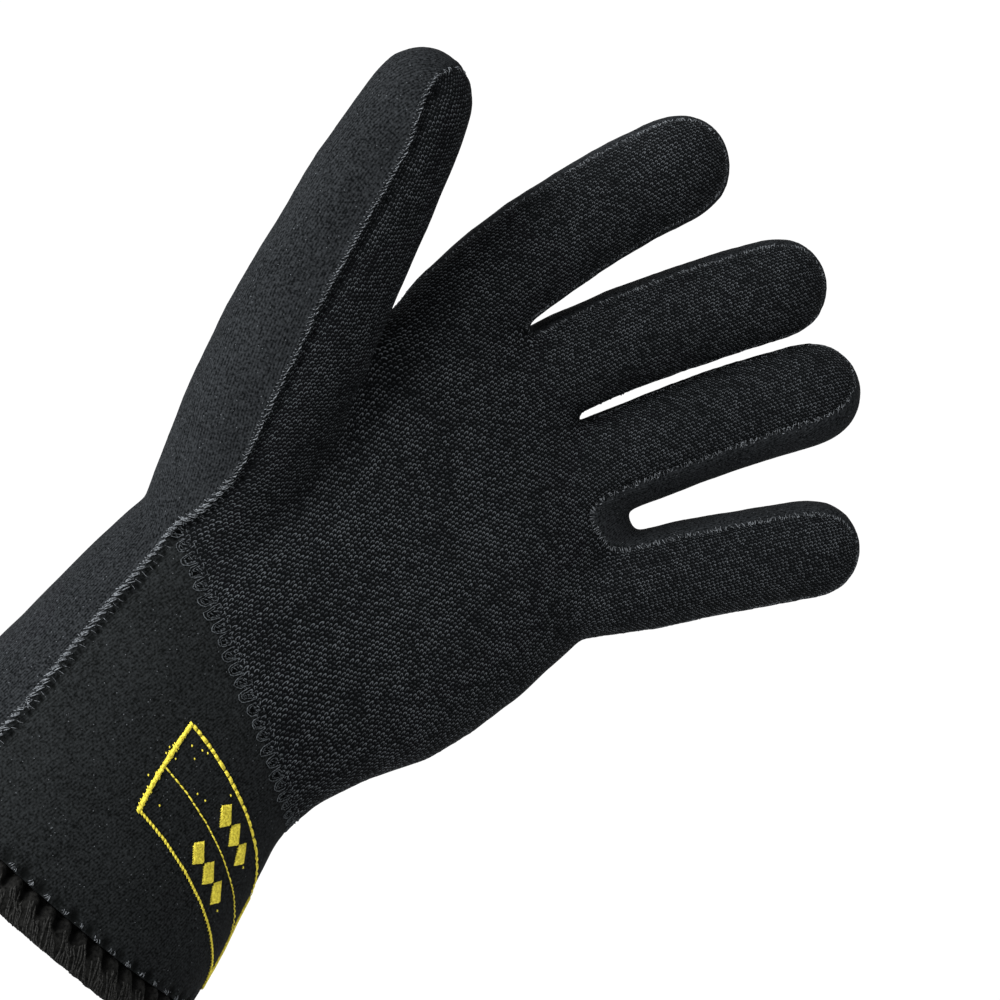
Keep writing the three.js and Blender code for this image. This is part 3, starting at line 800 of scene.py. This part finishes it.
def coarse_knit(name):
    """Coarse warp knit of textured nylon, laminated on foam. Its open loops lie in rows up the
    hand: a thin C of yarn round each near black eye is painted pale, as the highlight it
    catches. The UV map counts stitches, which are about 1 mm wide on the palm."""
    r = Recipe(name)
    place = r.add("TexCoord", output=3)
    counted = r.add("SeparateXYZ", r.add("UVMap", uv_map="stitches")).node.outputs

    # The row that a place lies in, and how far it is across that row, from -0.5 to 0.5
    wander = r.add("TexNoise", sockets=soft_spots(place, 2.2 * MM))
    across = r.add("Math", wander, 0.9, counted[0], operation="MULTIPLY_ADD")
    row = r.add("Math", across, operation="FLOOR")
    x = r.add("Math", across, operation="FRACT")
    x = r.add("Math", x, 0.5, operation="SUBTRACT")

    # The stitch in that row, which starts at its own height, and how far up the stitch it is
    start = r.add("TexWhiteNoise", sockets={"Vector": r.add("CombineXYZ", row)})
    along = r.add("Math", row, 0.5, counted[1], operation="MULTIPLY_ADD")
    along = r.add("Math", start, 0.5, along, operation="MULTIPLY_ADD")
    uneven = r.add("TexNoise", sockets=soft_spots(place, 1.6 * MM))
    along = r.add("Math", uneven, 1.1, along, operation="MULTIPLY_ADD")
    stitch = r.add("Math", along, operation="FLOOR")
    y = r.add("Math", along, operation="FRACT")
    y = r.add("Math", y, 0.5, operation="SUBTRACT")
    x = r.add("Math", y, 0.06, x, operation="MULTIPLY_ADD")
    luck = r.add("TexWhiteNoise", sockets={"Vector": r.add("CombineXYZ", row, stitch)})

    # The yarn: a ring round the stitch's eye, open on one side and broken up by its hairs
    wide = r.add("Math", r.add("Math", x, 0.42, operation="DIVIDE"), 2.0, operation="POWER")
    high = r.add("Math", r.add("Math", y, 0.47, operation="DIVIDE"), 2.0, operation="POWER")
    reach = r.add("Math", r.add("Math", wide, high, operation="ADD"), operation="SQRT")
    radius = r.add("Math", luck, 0.2, 0.55, operation="MULTIPLY_ADD")
    off = r.add("Math", r.add("Math", reach, radius, operation="SUBTRACT"), operation="ABSOLUTE")
    off = r.add("Math", off, 0.34, operation="DIVIDE")
    ring = r.add("Math", 1.0, off, operation="SUBTRACT", use_clamp=True)
    side = r.add("Math", x, y, operation="SUBTRACT")
    side = r.add("Math", side, -1.5, 0.42, operation="MULTIPLY_ADD", use_clamp=True)
    hair = r.add("TexNoise", sockets=soft_spots(place, 0.35 * MM))
    hair = r.add("Math", hair, 1.6, 0.25, operation="MULTIPLY_ADD")
    loop = r.add("Math", ring, side, operation="MULTIPLY")
    loop = r.add("Math", loop, hair, operation="MULTIPLY")
    bump = r.add("Bump", sockets={"Strength": 1.0, "Distance": 0.4 * MM, "Height": loop})

    # How pale it shows: a painted highlight on the yarn, which changes in patches and from loop to
    # loop
    patch = r.add("TexNoise", sockets=soft_spots(place, 7 * MM, 2.0))
    patch = r.add("Math", patch, 1.2, 0.35, operation="MULTIPLY_ADD")
    luck = r.add("Math", luck, 1.5, 0.5, operation="MULTIPLY_ADD")
    tone = r.add("Math", loop, patch, operation="MULTIPLY")
    tone = r.add("Math", tone, luck, operation="MULTIPLY", use_clamp=True)
    tone = r.add("Math", tone, 1.25, operation="POWER")
    # Darker in the needle pits: painted shade
    tone = r.add("Math", tone, outside_pit_shade(r, 1.4), operation="MULTIPLY")
    tones = two_tones("#070809", "#585c60")
    colour = r.add("Mix", tone, sockets=tones, output=2, data_type="RGBA")
    return r.finish(colour, bump, **CLOTH)


def smooth_knit(name, low, high, rib=0.3):
    """Fine jersey of nylon, laminated on foam: close low ribs that nearly vanish, an even soft
    grain and a few pale specks of lint. Its ribs are about 0.5 mm apart on the real one, and are
    drawn 0.8 mm apart to show."""
    r = Recipe(name)
    place = r.add("TexCoord", output=3)
    counted = r.add("SeparateXYZ", r.add("UVMap", uv_map="stitches")).node.outputs

    # Ribs along the rows, with the grain of the yarn on them
    wander = r.add("TexNoise", sockets=soft_spots(place, 3 * MM))
    turn = r.add("Math", wander, 0.8, counted[0], operation="MULTIPLY_ADD")
    turn = r.add("Math", turn, 2 * math.pi, operation="MULTIPLY")
    wave = r.add("Math", turn, operation="SINE")
    grain = r.add("TexNoise", sockets=soft_spots(place, 0.32 * MM))
    height = r.add("Math", wave, 0.5 * rib, grain, operation="MULTIPLY_ADD")
    bump = r.add("Bump", sockets={"Strength": 0.8, "Distance": 0.2 * MM, "Height": height})

    # How pale it shows: paler on the ribs' tops as painted highlight, darker between them as
    # painted shade, and a little paler or darker in patches as mottled painted sheen
    patch = r.add("TexNoise", sockets=soft_spots(place, 9 * MM, 2.0))
    patch = r.add("Math", patch, 0.5, operation="SUBTRACT")
    tone = r.add("Math", height, 0.5, operation="SUBTRACT")
    tone = r.add("Math", tone, 2.2, 0.45, operation="MULTIPLY_ADD")
    tone = r.add("Math", patch, 0.3, tone, operation="MULTIPLY_ADD")
    # Darker in the needle pits: painted shade
    tone = r.add("Math", tone, outside_pit_shade(r, 1.4), operation="MULTIPLY", use_clamp=True)
    cloth = r.add("Mix", tone, sockets=two_tones(low, high), output=2, data_type="RGBA")

    # Specks of lint, a fifth of a millimetre across
    speck = r.add("TexVoronoi", sockets={"Vector": place, "Scale": 0.8 / MM})
    near = r.add("Math", speck, 0.11, operation="LESS_THAN")
    lone = r.add("SeparateColor", speck.node.outputs[1])
    lone = r.add("Math", lone, 0.7, operation="GREATER_THAN")
    lint = r.add("Math", near, lone, operation="MULTIPLY")
    lint = r.add("Math", lint, 0.4, operation="MULTIPLY")
    tones = {6: cloth, 7: linear("#6c7074")}
    colour = r.add("Mix", lint, sockets=tones, output=2, data_type="RGBA")
    return r.finish(colour, bump, **CLOTH)


def spun_thread(name, low, high, **constants):
    """Twisted sewing thread: fine strands that wind round it and part a little."""
    r = Recipe(name)
    place = r.add("TexCoord", output=3)
    strand = r.add("TexNoise", sockets=soft_spots(place, 0.25 * MM, 2.0))
    bump = r.add("Bump", sockets={"Strength": 0.7, "Distance": 0.08 * MM, "Height": strand})
    tone = r.add("Math", strand, 0.5, operation="SUBTRACT")
    tone = r.add("Math", tone, 2.4, 0.5, operation="MULTIPLY_ADD", use_clamp=True)
    colour = r.add("Mix", tone, sockets=two_tones(low, high), output=2, data_type="RGBA")
    return r.finish(colour, bump, **{**CLOTH, **constants})


def overlock_body(name):
    """The mass of fine matt fibres under the overlock threads, brownish and almost black."""
    r = Recipe(name)
    place = r.add("TexCoord", output=3)
    fibre = r.add("TexNoise", sockets=soft_spots(place, 0.5 * MM, 3.0))
    bump = r.add("Bump", sockets={"Strength": 1.0, "Distance": 0.4 * MM, "Height": fibre})
    tone = r.add("Math", fibre, 0.5, operation="SUBTRACT")
    tone = r.add("Math", tone, 2.0, 0.4, operation="MULTIPLY_ADD", use_clamp=True)
    # Darker in the notches that the thread's bites press in: painted shade
    tone = r.add("Math", tone, outside_pit_shade(r, 1.2), operation="MULTIPLY")
    tones = two_tones("#050505", "#212120")
    colour = r.add("Mix", tone, sockets=tones, output=2, data_type="RGBA")
    return r.finish(colour, bump, **CLOTH)


def pale_paper(name):
    """Matt white background paper, with the faint grain of its fibres."""
    r = Recipe(name)
    place = r.add("TexCoord", output=3)
    grain = r.add("TexNoise", sockets=soft_spots(place, 2 * MM, 2.0))
    bump = r.add("Bump", sockets={"Strength": 0.05, "Distance": 0.1 * MM, "Height": grain})
    tones = two_tones("#fcfcfc", "#ffffff")
    colour = r.add("Mix", grain, sockets=tones, output=2, data_type="RGBA")
    return r.finish(colour, bump, Roughness=0.9)


LOOKS = {
    "back_panel": smooth_knit("fine nylon jersey on neoprene", "#060708", "#242628", 0.15),
    "palm_panel": coarse_knit("coarse nylon warp knit on neoprene"),
    # The cuff's jersey is the back's, drawn darker as painted shade
    "cuff_panel": smooth_knit("fine nylon jersey on neoprene, cuff", "#070808", "#1e2021", 0.12),
}
LINING = smooth_knit("fine nylon jersey lining", "#0c0d0e", "#202224")
# The two black threads below are painted pale grey along their strands, as their highlight
SEAM_THREAD = spun_thread("black textured polyester thread", "#08090a", "#707478")
LOOP_THREAD = spun_thread("black textured polyester thread, wrist", "#08090a", "#4c5053")
HEM_BODY = overlock_body("black overlocked edge")
HEM_THREAD = spun_thread("black fuzzy overlock thread", "#080808", "#2e2e2d")
YELLOW_THREAD = spun_thread("yellow rayon embroidery thread", "#8f8226", "#ded04e", Roughness=0.5)


# Panels


def split_panels(skin):
    """Parts the skin into its panels, and gives each its thickness."""
    for number, node in enumerate(PANELS):
        panel = bpy.data.objects.new(node.replace("_panel", "_neoprene"), skin.data.copy())
        bpy.context.scene.collection.objects.link(panel)
        pick(panel)
        bpy.ops.object.mode_set(mode="EDIT")
        bpy.ops.mesh.select_mode(type="FACE")
        bpy.ops.mesh.select_all(action="DESELECT")
        bpy.ops.object.mode_set(mode="OBJECT")
        for face in panel.data.polygons:
            face.select = face.material_index != number
        bpy.ops.object.mode_set(mode="EDIT")
        bpy.ops.mesh.delete(type="FACE")
        bpy.ops.object.mode_set(mode="OBJECT")
        panel.data.polygons.foreach_set("material_index", [0] * len(panel.data.polygons))
        panel.data.materials.clear()
        panel.data.materials.append(LOOKS[node])
        panel.data.materials.append(LINING)
        outer = len(panel.data.vertices)
        finish_with(panel, "SOLIDIFY", thickness=WALL, offset=-1, use_rim=True,
                    material_offset=1, material_offset_rim=1)
        points = points_of(panel)
        out = np.empty(len(points) * 3)
        panel.data.attributes["out"].data.foreach_get("vector", out)
        points[outer:2 * outer] = points[:outer] - WALL * out.reshape(-1, 3)[:outer]
        set_points(panel, points)
        panel.data.attributes.remove(panel.data.attributes["out"])
        pick(panel)
        bpy.ops.object.shade_smooth_by_angle(angle=math.radians(50))
        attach(panel, "root")
        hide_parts(node)


# Threads

# How thick each thread is, as its radius
CHAIN_THREAD = 0.2 * MM
DIGIT_THREAD = 0.17 * MM
WRIST_THREAD = 0.15 * MM
WINDING_THREAD = 0.25 * MM
BITE_THREAD = 0.11 * MM
FRAME_THREAD = 0.24 * MM


def sew(name, threads, radius, look, slot, replaced=None):
    """Makes one mesh of many short threads. A thread is a list of points with their thickness."""
    curve = bpy.data.curves.new(name, "CURVE")
    curve.dimensions = "3D"
    curve.bevel_depth = radius
    curve.bevel_resolution = 0
    curve.use_fill_caps = True
    for thread in threads:
        spline = curve.splines.new("POLY")
        spline.points.add(len(thread) - 1)
        for point, (place, thickness) in zip(spline.points, thread):
            point.co = (*place, 1)
            point.radius = thickness
    piece = bpy.data.objects.new(name, curve)
    bpy.context.scene.collection.objects.link(piece)
    pick(piece)
    bpy.ops.object.convert(target="MESH")
    piece = bpy.context.view_layer.objects.active
    piece.data.materials.clear()
    piece.data.materials.append(look)
    bpy.ops.object.shade_smooth()
    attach(piece, "root")
    if replaced:
        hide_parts(replaced)


# How a stitch rises over the cloth and dips in at its ends: share of its length, height, thickness
ARCH = ((0, -1.0, 0.5), (0.18, 0.5, 0.95), (0.5, 1.0, 1.1), (0.82, 0.5, 0.95), (1, -1.0, 0.5))


def shaken(value):
    """A random amount, up to this much either way."""
    return value * random.uniform(-1, 1)


def stitch(seam, start, end, lift, loose=0.0, thick=1.0):
    """One short stitch over the cloth, from one place along and across a seam to another."""
    start, end = ([value * MM + shaken(loose * MM) for value in spot] for spot in (start, end))
    thread = []
    for share, height, thickness in ARCH:
        along = start[0] + (end[0] - start[0]) * share
        across = start[1] + (end[1] - start[1]) * share
        thread.append((seam.place(along, across, height * lift * MM)[0], thickness * thick))
    return thread


# The strands of the chain's rope: how far across the seam each lies, in mm
ROPE = (-0.25, 0, 0.2, 0.4)


def chain_stitches(seam, start, end):
    """The raised chain up the thumb's side of the cuff, with legs down into the pits. Further up
    it thins to two dashes a link, each with a barb."""
    threads = []
    first = int(start / CHAIN_STEP)
    for i in range(first, first + int((end - start) / CHAIN_STEP)):
        s = i * (CHAIN_STEP / MM)
        if s > CHAIN_THINS / MM:
            for k in (0, 1.1):
                thick = 0.6 + shaken(0.2)
                threads.append(stitch(seam, (s + k, 0.5), (s + k + 1.4, -0.1), 0.35, 0.2, thick))
                threads.append(stitch(seam, (s + k, 0.5), (s + k - 0.3, 1.4), 0.2, 0.3, 0.45))
            continue
        for k in ROPE:
            thick = 0.7 + shaken(0.15)
            threads.append(stitch(seam, (s - 0.4, 0.8 + k), (s + 2.1, -0.3 + k), 0.4, 0.25, thick))
        threads.append(stitch(seam, (s - 0.2, 0.9), (s - 0.7, 1.9), 0.2, 0.3, 0.6))
        threads.append(stitch(seam, (s + 0.7, 0.6), (s + 0.3, 1.5), 0.2, 0.3, 0.6))
        if random.random() < 0.6:
            threads.append(stitch(seam, (s + 0.2, -0.3), (s + 0.4, -2.4), 0.1, 0.4, 0.35))
    return threads


def crossed_stitches(seam, start, end):
    """The close, fuzzy stitches that run round the digits, to and fro across the seam."""
    threads = []
    s = start / MM
    way = 1
    while s < end / MM:
        reach = way * (0.9 + shaken(0.35))
        lean = 0.6 + shaken(0.45)
        thick = 0.55 + shaken(0.25)
        if random.random() < 0.7:
            threads.append(stitch(seam, (s, -reach), (s + lean, reach), 0.3, 0.3, thick))
        if random.random() < 0.6:
            far = s + random.uniform(0.4, 1.0)
            ends = (s, shaken(1.0)), (far, shaken(1.0))
            threads.append(stitch(seam, *ends, 0.45, 0.2, thick + 0.2))
        s += 0.85 + shaken(0.25)
        way = -way
    return threads


# The outline of one open loop: shares of the step along the seam, and mm across it
LOOP = ((0.02, 1.9), (0.02, 0.6), (0.06, -1.0), (0.18, -2.0), (0.4, -2.45),
        (0.62, -2.1), (0.76, -1.1), (0.82, 0.6), (0.84, 1.9))
LOOP_MIDDLE = 0.43


def wrist_loops(seam):
    """The chain of open loops that holds the palm to the cuff, with twisted strands inside."""
    threads = []
    step = LOOP_STEP / MM
    for i in range(int(seam.length / LOOP_STEP)):
        s = i * step + shaken(0.2)
        swell = 1 + shaken(0.25)
        for shrink, thick in ((1.0, 1.0), (0.62, 0.75)):
            thread = []
            for k, (along, across) in enumerate(LOOP):
                height = -0.3 if k in (0, len(LOOP) - 1) else 0.25
                along = LOOP_MIDDLE + (along - LOOP_MIDDLE) * shrink
                along = s + along * step + shaken(0.22)
                across = across * swell * shrink + shaken(0.28)
                thread.append((seam.place(along * MM, across * MM, height * MM)[0], thick))
            threads.append(thread)
        for k in range(4):
            low = -1.6 + 0.9 * k + shaken(0.3)
            threads.append(stitch(seam, (s + 1.1, low), (s + 1.9, low + 0.6), 0.35, 0.25))
            threads.append(stitch(seam, (s + 2.2, low), (s + 2.7, low + 0.5), 0.3, 0.3, 0.8))
        threads.append(stitch(seam, (s + 0.2, 2.9), (s + 1.3, 2.4), 0.2, 0.2))
        threads.append(stitch(seam, (s + 2.2, 3.0), (s + 3.3, 2.6), 0.2, 0.2, 0.9))
    return threads


# Hem

# The step of the band's mesh, and how far below its top the notches begin and reach their depth
HEM_MESH = 0.8 * MM
HEM_NOTCHED = (4.6 * MM, 1.6 * MM)

# The notch that each bite of thread presses into the band: half width, how far in and how far
# down, in mm. The band's lumps: height and size in mm, and how much it stands out.
NOTCH_WIDE = 1.4
NOTCH_DEEP = 1.3
NOTCH_DROP = 2.2
HEM_LUMPS = ((0.35, 2.5), (0.25, 9))
HEM_SWELL = 0.45

# The path of a winding: share of its slant, its side, which is 1 outside, 0 under and -1 inside,
# and its height, as a share of its upper end's and mm more than that
WINDING = (
    (0, 1, (1, 0)), (0.15, 1, (1, -1.6)), (0.35, 1, (0.6, 0)), (0.6, 1, (0.25, 0)),
    (0.8, 1, (0, 0.6)), (1.0, 0, (0, 0)), (1.1, -1, (0, 1.5)), (1.3, -1, (0, 4.5)),
    (1.5, -1, (0, 8)),
)

# The two layers of windings: slant, step and looseness in mm
LAYERS = ((6.0, 1.2, 0.35), (4.4, 1.9, 0.5))

# How far below the hem's height their upper ends lie, how far up and down they sway with the
# notches, and how far round the sway is shifted, in mm
WINDING_DROP = 2.4
WINDING_SWAY = 1.4
WINDING_SHIFT = 2.5

# A bite into the neoprene: share of its length, height in mm, thickness
BITE = ((0, -0.3, 0.6), (0.3, 0.35, 1), (0.7, 0.35, 1), (1, -0.3, 0.6))
BITE_THREADS = 9
BITE_LENGTH = 1.3


def make_hem():
    """The overlocked band round the opening: a soft body with threads wound over it."""
    hem = bpy.data.objects.new("overlocked_hem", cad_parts["cuff_hem"].data.copy())
    bpy.context.scene.collection.objects.link(hem)
    pick(hem)
    bpy.ops.object.mode_set(mode="EDIT")
    bpy.ops.mesh.select_all(action="SELECT")
    bpy.ops.mesh.remove_doubles(threshold=0.01 * MM)
    bpy.ops.object.mode_set(mode="OBJECT")
    finish_with(hem, "REMESH", mode="VOXEL", voxel_size=HEM_MESH)
    finish_with(hem, "SMOOTH", factor=0.5, iterations=6)
    points = points_of(hem)
    normals = normals_of(hem)
    walked = np.array([foot.walked_at(p) for p in points[:, :2]])
    outward = unit(points * [1, 1, 0])
    outer = np.clip((normals * outward).sum(1), 0, 1)
    low, high = (HEM_HEIGHT - below for below in HEM_NOTCHED)
    upper = smoothstep(low, high, points[:, 2])
    steps = (walked + 0.3 * points[:, 2]) / HEM_STEP
    notch = bell((steps - np.floor(steps) - 0.5) * HEM_STEP, NOTCH_WIDE * MM)
    for i, point in enumerate(points):
        spot = Vector(point)
        lump = sum(high * noise.noise(spot / (size * MM)) for high, size in HEM_LUMPS)
        points[i] += normals[i] * MM * lump
    points += outward * (outer * (HEM_SWELL - NOTCH_DEEP * notch * upper) * MM)[:, None]
    upper = upper * (outer > 0.05)
    points[:, 2] += (0.5 - NOTCH_DROP * notch) * MM * upper
    set_points(hem, points)
    # The notches, which the band's material darkens as painted shade
    attribute = hem.data.attributes.new("pits", "FLOAT", "POINT")
    attribute.data.foreach_set("value", np.clip(notch * upper, 0, 1))
    hem.data.materials.clear()
    hem.data.materials.append(HEM_BODY)
    pick(hem)
    bpy.ops.object.shade_smooth()
    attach(hem, "root")
    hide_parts("cuff_hem")
    return hem


def wound_thread(tree, distance, slant, top, loose):
    """A thread from the band's outer top, down round its foot and up inside."""
    thread = []
    for share, side, (part, more) in WINDING:
        height = part * top + more
        way = foot.way(distance + (slant * share + shaken(loose)) * MM)
        if side > 0:
            start = way * 1.5 + Vector((0, 0, height * MM))
            found = tree.ray_cast(start, -way)
        elif side == 0:
            found = tree.ray_cast(way * 0.95 - Vector((0, 0, 10 * MM)), Vector((0, 0, 1)))
        else:
            found = tree.ray_cast(Vector((0, 0, height * MM)), way)
        if found[0] is None:
            continue
        lift = 0.12 * MM + shaken(0.08 * MM)
        if share == 0:
            lift = -0.5 * MM
        thread.append((found[0] + found[1] * lift, 1.0))
    return thread


def wind_hem(hem):
    """Two layers of matt threads round the band, with their upper ends higher between notches."""
    tree = surface_of(hem)
    threads = []
    for slant, step, loose in LAYERS:
        for i in range(int(foot.length / (step * MM))):
            distance = i * step * MM + shaken(0.3 * MM)
            phase = math.cos(2 * math.pi * (distance + WINDING_SHIFT * MM) / HEM_STEP)
            top = HEM_HEIGHT / MM - WINDING_DROP + WINDING_SWAY * phase + shaken(0.6)
            thread = wound_thread(tree, distance, slant, top, loose)
            if len(thread) > 2:
                threads.append(thread)
    sew("hem_windings", threads, WINDING_THREAD, HEM_THREAD, "hem_thread")


def tuft_hem(skin_tree):
    """Short loops, bright with painted highlight, that bite into the neoprene above the band,
    between the pits.
    """
    threads = []
    for i in range(int(foot.length / HEM_STEP)):
        for _ in range(BITE_THREADS):
            distance = (i + random.gauss(0, 0.1)) * HEM_STEP
            height = HEM_HEIGHT + random.uniform(0.4, 2.0) * MM
            turn = random.uniform(-0.9, 0.9)
            thread = []
            for share, lift, thick in BITE:
                way = foot.way(distance + turn * share * MM)
                start = way * 1.5 + Vector((0, 0, height - BITE_LENGTH * share * MM))
                found = skin_tree.ray_cast(start, -way)
                if found[0] is not None:
                    thread.append((found[0] + found[1] * lift * MM, thick))
            if len(thread) > 2:
                threads.append(thread)
    sew("hem_tufts", threads, BITE_THREAD, SEAM_THREAD, "hem_thread")


# Embroidery


def frame_spot(s, t, lift):
    """A place over the cuff, s mm along the frame, t mm down it and lifted off the cloth."""
    near_end = 1 - s / FRAME_LENGTH
    ahead, rise, less = FRAME_SHIFT
    s = (s + (ahead - less * t / FRAME_HEIGHT) * near_end) / FRAME_STEP
    share = (t - rise * near_end) / FRAME_HEIGHT
    step = min(max(math.floor(s), 0), len(FRAME_GRID[0]) - 2)
    lines = []
    for row in FRAME_GRID:
        start, end = Vector(row[step]), Vector(row[step + 1])
        lines.append((start + (end - start) * (s - step)) * MM)
    top = lines[0] * (1 - share) * (1 - 2 * share)
    middle = lines[1] * 4 * share * (1 - share)
    bottom = lines[2] * share * (2 * share - 1)
    place, out, _, _ = skin_tree.find_nearest(top + middle + bottom)
    return place + out * lift * MM


def yellow_stitch(start, end, lift=0.3, thick=1.0):
    """One shiny stitch from a place in the frame to another."""
    start, end = ([value + shaken(0.06) for value in spot] for spot in (start, end))
    thread = []
    for share, height, thickness in ARCH:
        s, t = (a + (b - a) * share for a, b in zip(start, end))
        thread.append((frame_spot(s, t, height * lift + 0.1), thickness * thick))
    return thread


def satin_bar(s):
    """Close stitches side by side, as a thick bar across the frame."""
    threads = []
    t = -0.1
    while t < FRAME_HEIGHT + 0.4:
        reach = 0.7 + shaken(0.14) + (0.4 if random.random() < 0.12 else 0)
        threads.append(yellow_stitch((s - reach, t), (s + reach, t + 0.35), 0.35))
        t += 0.36
    return threads


def thinner(s):
    """How much thinner the long lines get towards the frame's far end."""
    return 1 - 0.4 * s / FRAME_LENGTH


def top_line():
    """Three threads side by side, in stitches of uneven length."""
    threads = []
    s = 0.6
    while s < FRAME_LENGTH:
        long = random.uniform(1.6, 3.6)
        for k in (-0.28, 0, 0.28):
            threads.append(yellow_stitch((s, k), (s + long, k + shaken(0.06)), 0.3, thinner(s)))
        s += long + random.uniform(-0.1, 0.15)
    return threads


def middle_line():
    """One thread, in short stitches with gaps."""
    threads = []
    t = FRAME_HEIGHT / 2
    s = 0.4
    while s < FRAME_LENGTH:
        long = random.uniform(0.9, 2.4)
        threads.append(yellow_stitch((s, t), (s + long, t), 0.3, 0.95 * thinner(s)))
        s += long + random.uniform(0, 0.15)
    return threads


def foot_line():
    """Pairs of short slanting stitches, like a fine rope."""
    threads = []
    s = 0.4
    while s < FRAME_LENGTH:
        for k in (-0.12, 0.12):
            t = FRAME_HEIGHT + k
            threads.append(yellow_stitch((s, t - 0.2), (s + 1.2, t + 0.2), 0.4, thinner(s)))
        s += 1.25 + shaken(0.12)
    return threads


def diamond(middle, t):
    """A plain diamond of upright satin stitches."""
    threads = []
    s = -2.6
    while s <= 2.6:
        reach = DIAMOND_HIGH * (1 - abs(s) / DIAMOND_LONG) + 0.15
        start, end = (middle + s, t - reach), (middle + s + 0.1, t + reach)
        threads.append(yellow_stitch(start, end, 0.45, 1.05))
        s += 0.36
    return threads


def embroider():
    """The yellow frame on the cuff, with plain diamonds in its two halves."""
    threads = satin_bar(0) + satin_bar(FRAME_LENGTH)
    threads += top_line() + middle_line() + foot_line()
    for t, places in DIAMONDS:
        for middle in places:
            threads += diamond(middle, t)
    for s, t in LOOSE_ENDS:
        threads.append(yellow_stitch((s, t), (s + 0.3, t + 0.25), 0.2, 0.9))
    thread = (FRAME_THREAD, YELLOW_THREAD, "embroidery_thread")
    sew("embroidered_frame", threads, *thread, replaced="embroidery")


# The glove, made

skin = make_skin()
cut_pattern(skin)
skin_tree = surface_of(skin)
main_seam = seam_along(skin, BACK, (PALM, CUFF))
wrist_seam = seam_along(skin, PALM, (CUFF,))
foot = Foot(FOOT_WIDE, FOOT_DEEP)
refine_seams(skin)
skin_tree = surface_of(skin)
main_seam.tree = wrist_seam.tree = skin_tree
shape_relief(skin)
skin_tree = surface_of(skin)
main_seam.tree = wrist_seam.tree = skin_tree
map_stitches(skin)
split_panels(skin)
bpy.data.objects.remove(skin)

chain = chain_stitches(main_seam, SEAM_MARGIN, CHAIN_END)
sew("chain_seam", chain, CHAIN_THREAD, SEAM_THREAD, "seam_thread")
crossed = crossed_stitches(main_seam, CHAIN_END, main_seam.length - SEAM_MARGIN)
sew("digit_seams", crossed, DIGIT_THREAD, SEAM_THREAD, "seam_thread")
sew("wrist_seam", wrist_loops(wrist_seam), WRIST_THREAD, LOOP_THREAD, "seam_thread")
hem = make_hem()
wind_hem(hem)
tuft_hem(skin_tree)
embroider()


# Stage, light and camera

bpy.ops.mesh.primitive_plane_add(size=30, location=(0, 0, -0.35))
floor = bpy.context.object
floor.name = "studio_floor"
bpy.ops.object.transform_apply(location=True)
floor.data.materials.append(pale_paper("matt white paper"))

# Even white surroundings, which light the glove from all sides
world = bpy.data.worlds.new("studio")
bpy.context.scene.world = world
world.use_nodes = True
world.node_tree.nodes["Background"].inputs["Color"].default_value = (1, 1, 1, 1)
world.node_tree.nodes["Background"].inputs["Strength"].default_value = 1.05
bpy.context.scene.view_settings.view_transform = "Standard"

# Where the camera stands, its directions to the right and up in the picture, and what it faces
CAMERA_PLACE = Vector((-0.1282761, -0.4896797, 0.0811159))
CAMERA_RIGHT = Vector((0.6586, -0.3275, 0.6775))
CAMERA_UP = Vector((-0.696, 0.0772, 0.7139))
CAMERA_BACK = CAMERA_RIGHT.cross(CAMERA_UP).normalized()
GLOVE_MIDDLE = Vector((0.0205, 0, 0.1732))

camera_data = bpy.data.cameras.new("camera")
camera_data.lens = 63.6
camera_data.sensor_width = 36
camera_data.clip_start = 0.01
camera = bpy.data.objects.new("camera", camera_data)
bpy.context.scene.collection.objects.link(camera)
turned = Matrix((CAMERA_RIGHT, CAMERA_UP, CAMERA_BACK)).transposed()
camera.matrix_world = Matrix.Translation(CAMERA_PLACE) @ turned.to_4x4()
bpy.context.scene.camera = camera


def soft_light(name, right, up, back, size, power):
    """A square soft light that faces the glove, placed by its direction as seen in the picture."""
    way = (CAMERA_RIGHT * right + CAMERA_UP * up + CAMERA_BACK * back).normalized()
    data = bpy.data.lights.new(name, "AREA")
    data.shape = "SQUARE"
    data.size = size
    data.energy = power
    light = bpy.data.objects.new(name, data)
    bpy.context.scene.collection.objects.link(light)
    light.location = GLOVE_MIDDLE + way * 0.9
    light.rotation_mode = "QUATERNION"
    light.rotation_quaternion = (-way).to_track_quat("-Z", "Y")


soft_light("key", right=-0.75, up=0.65, back=0.75, size=0.5, power=18)
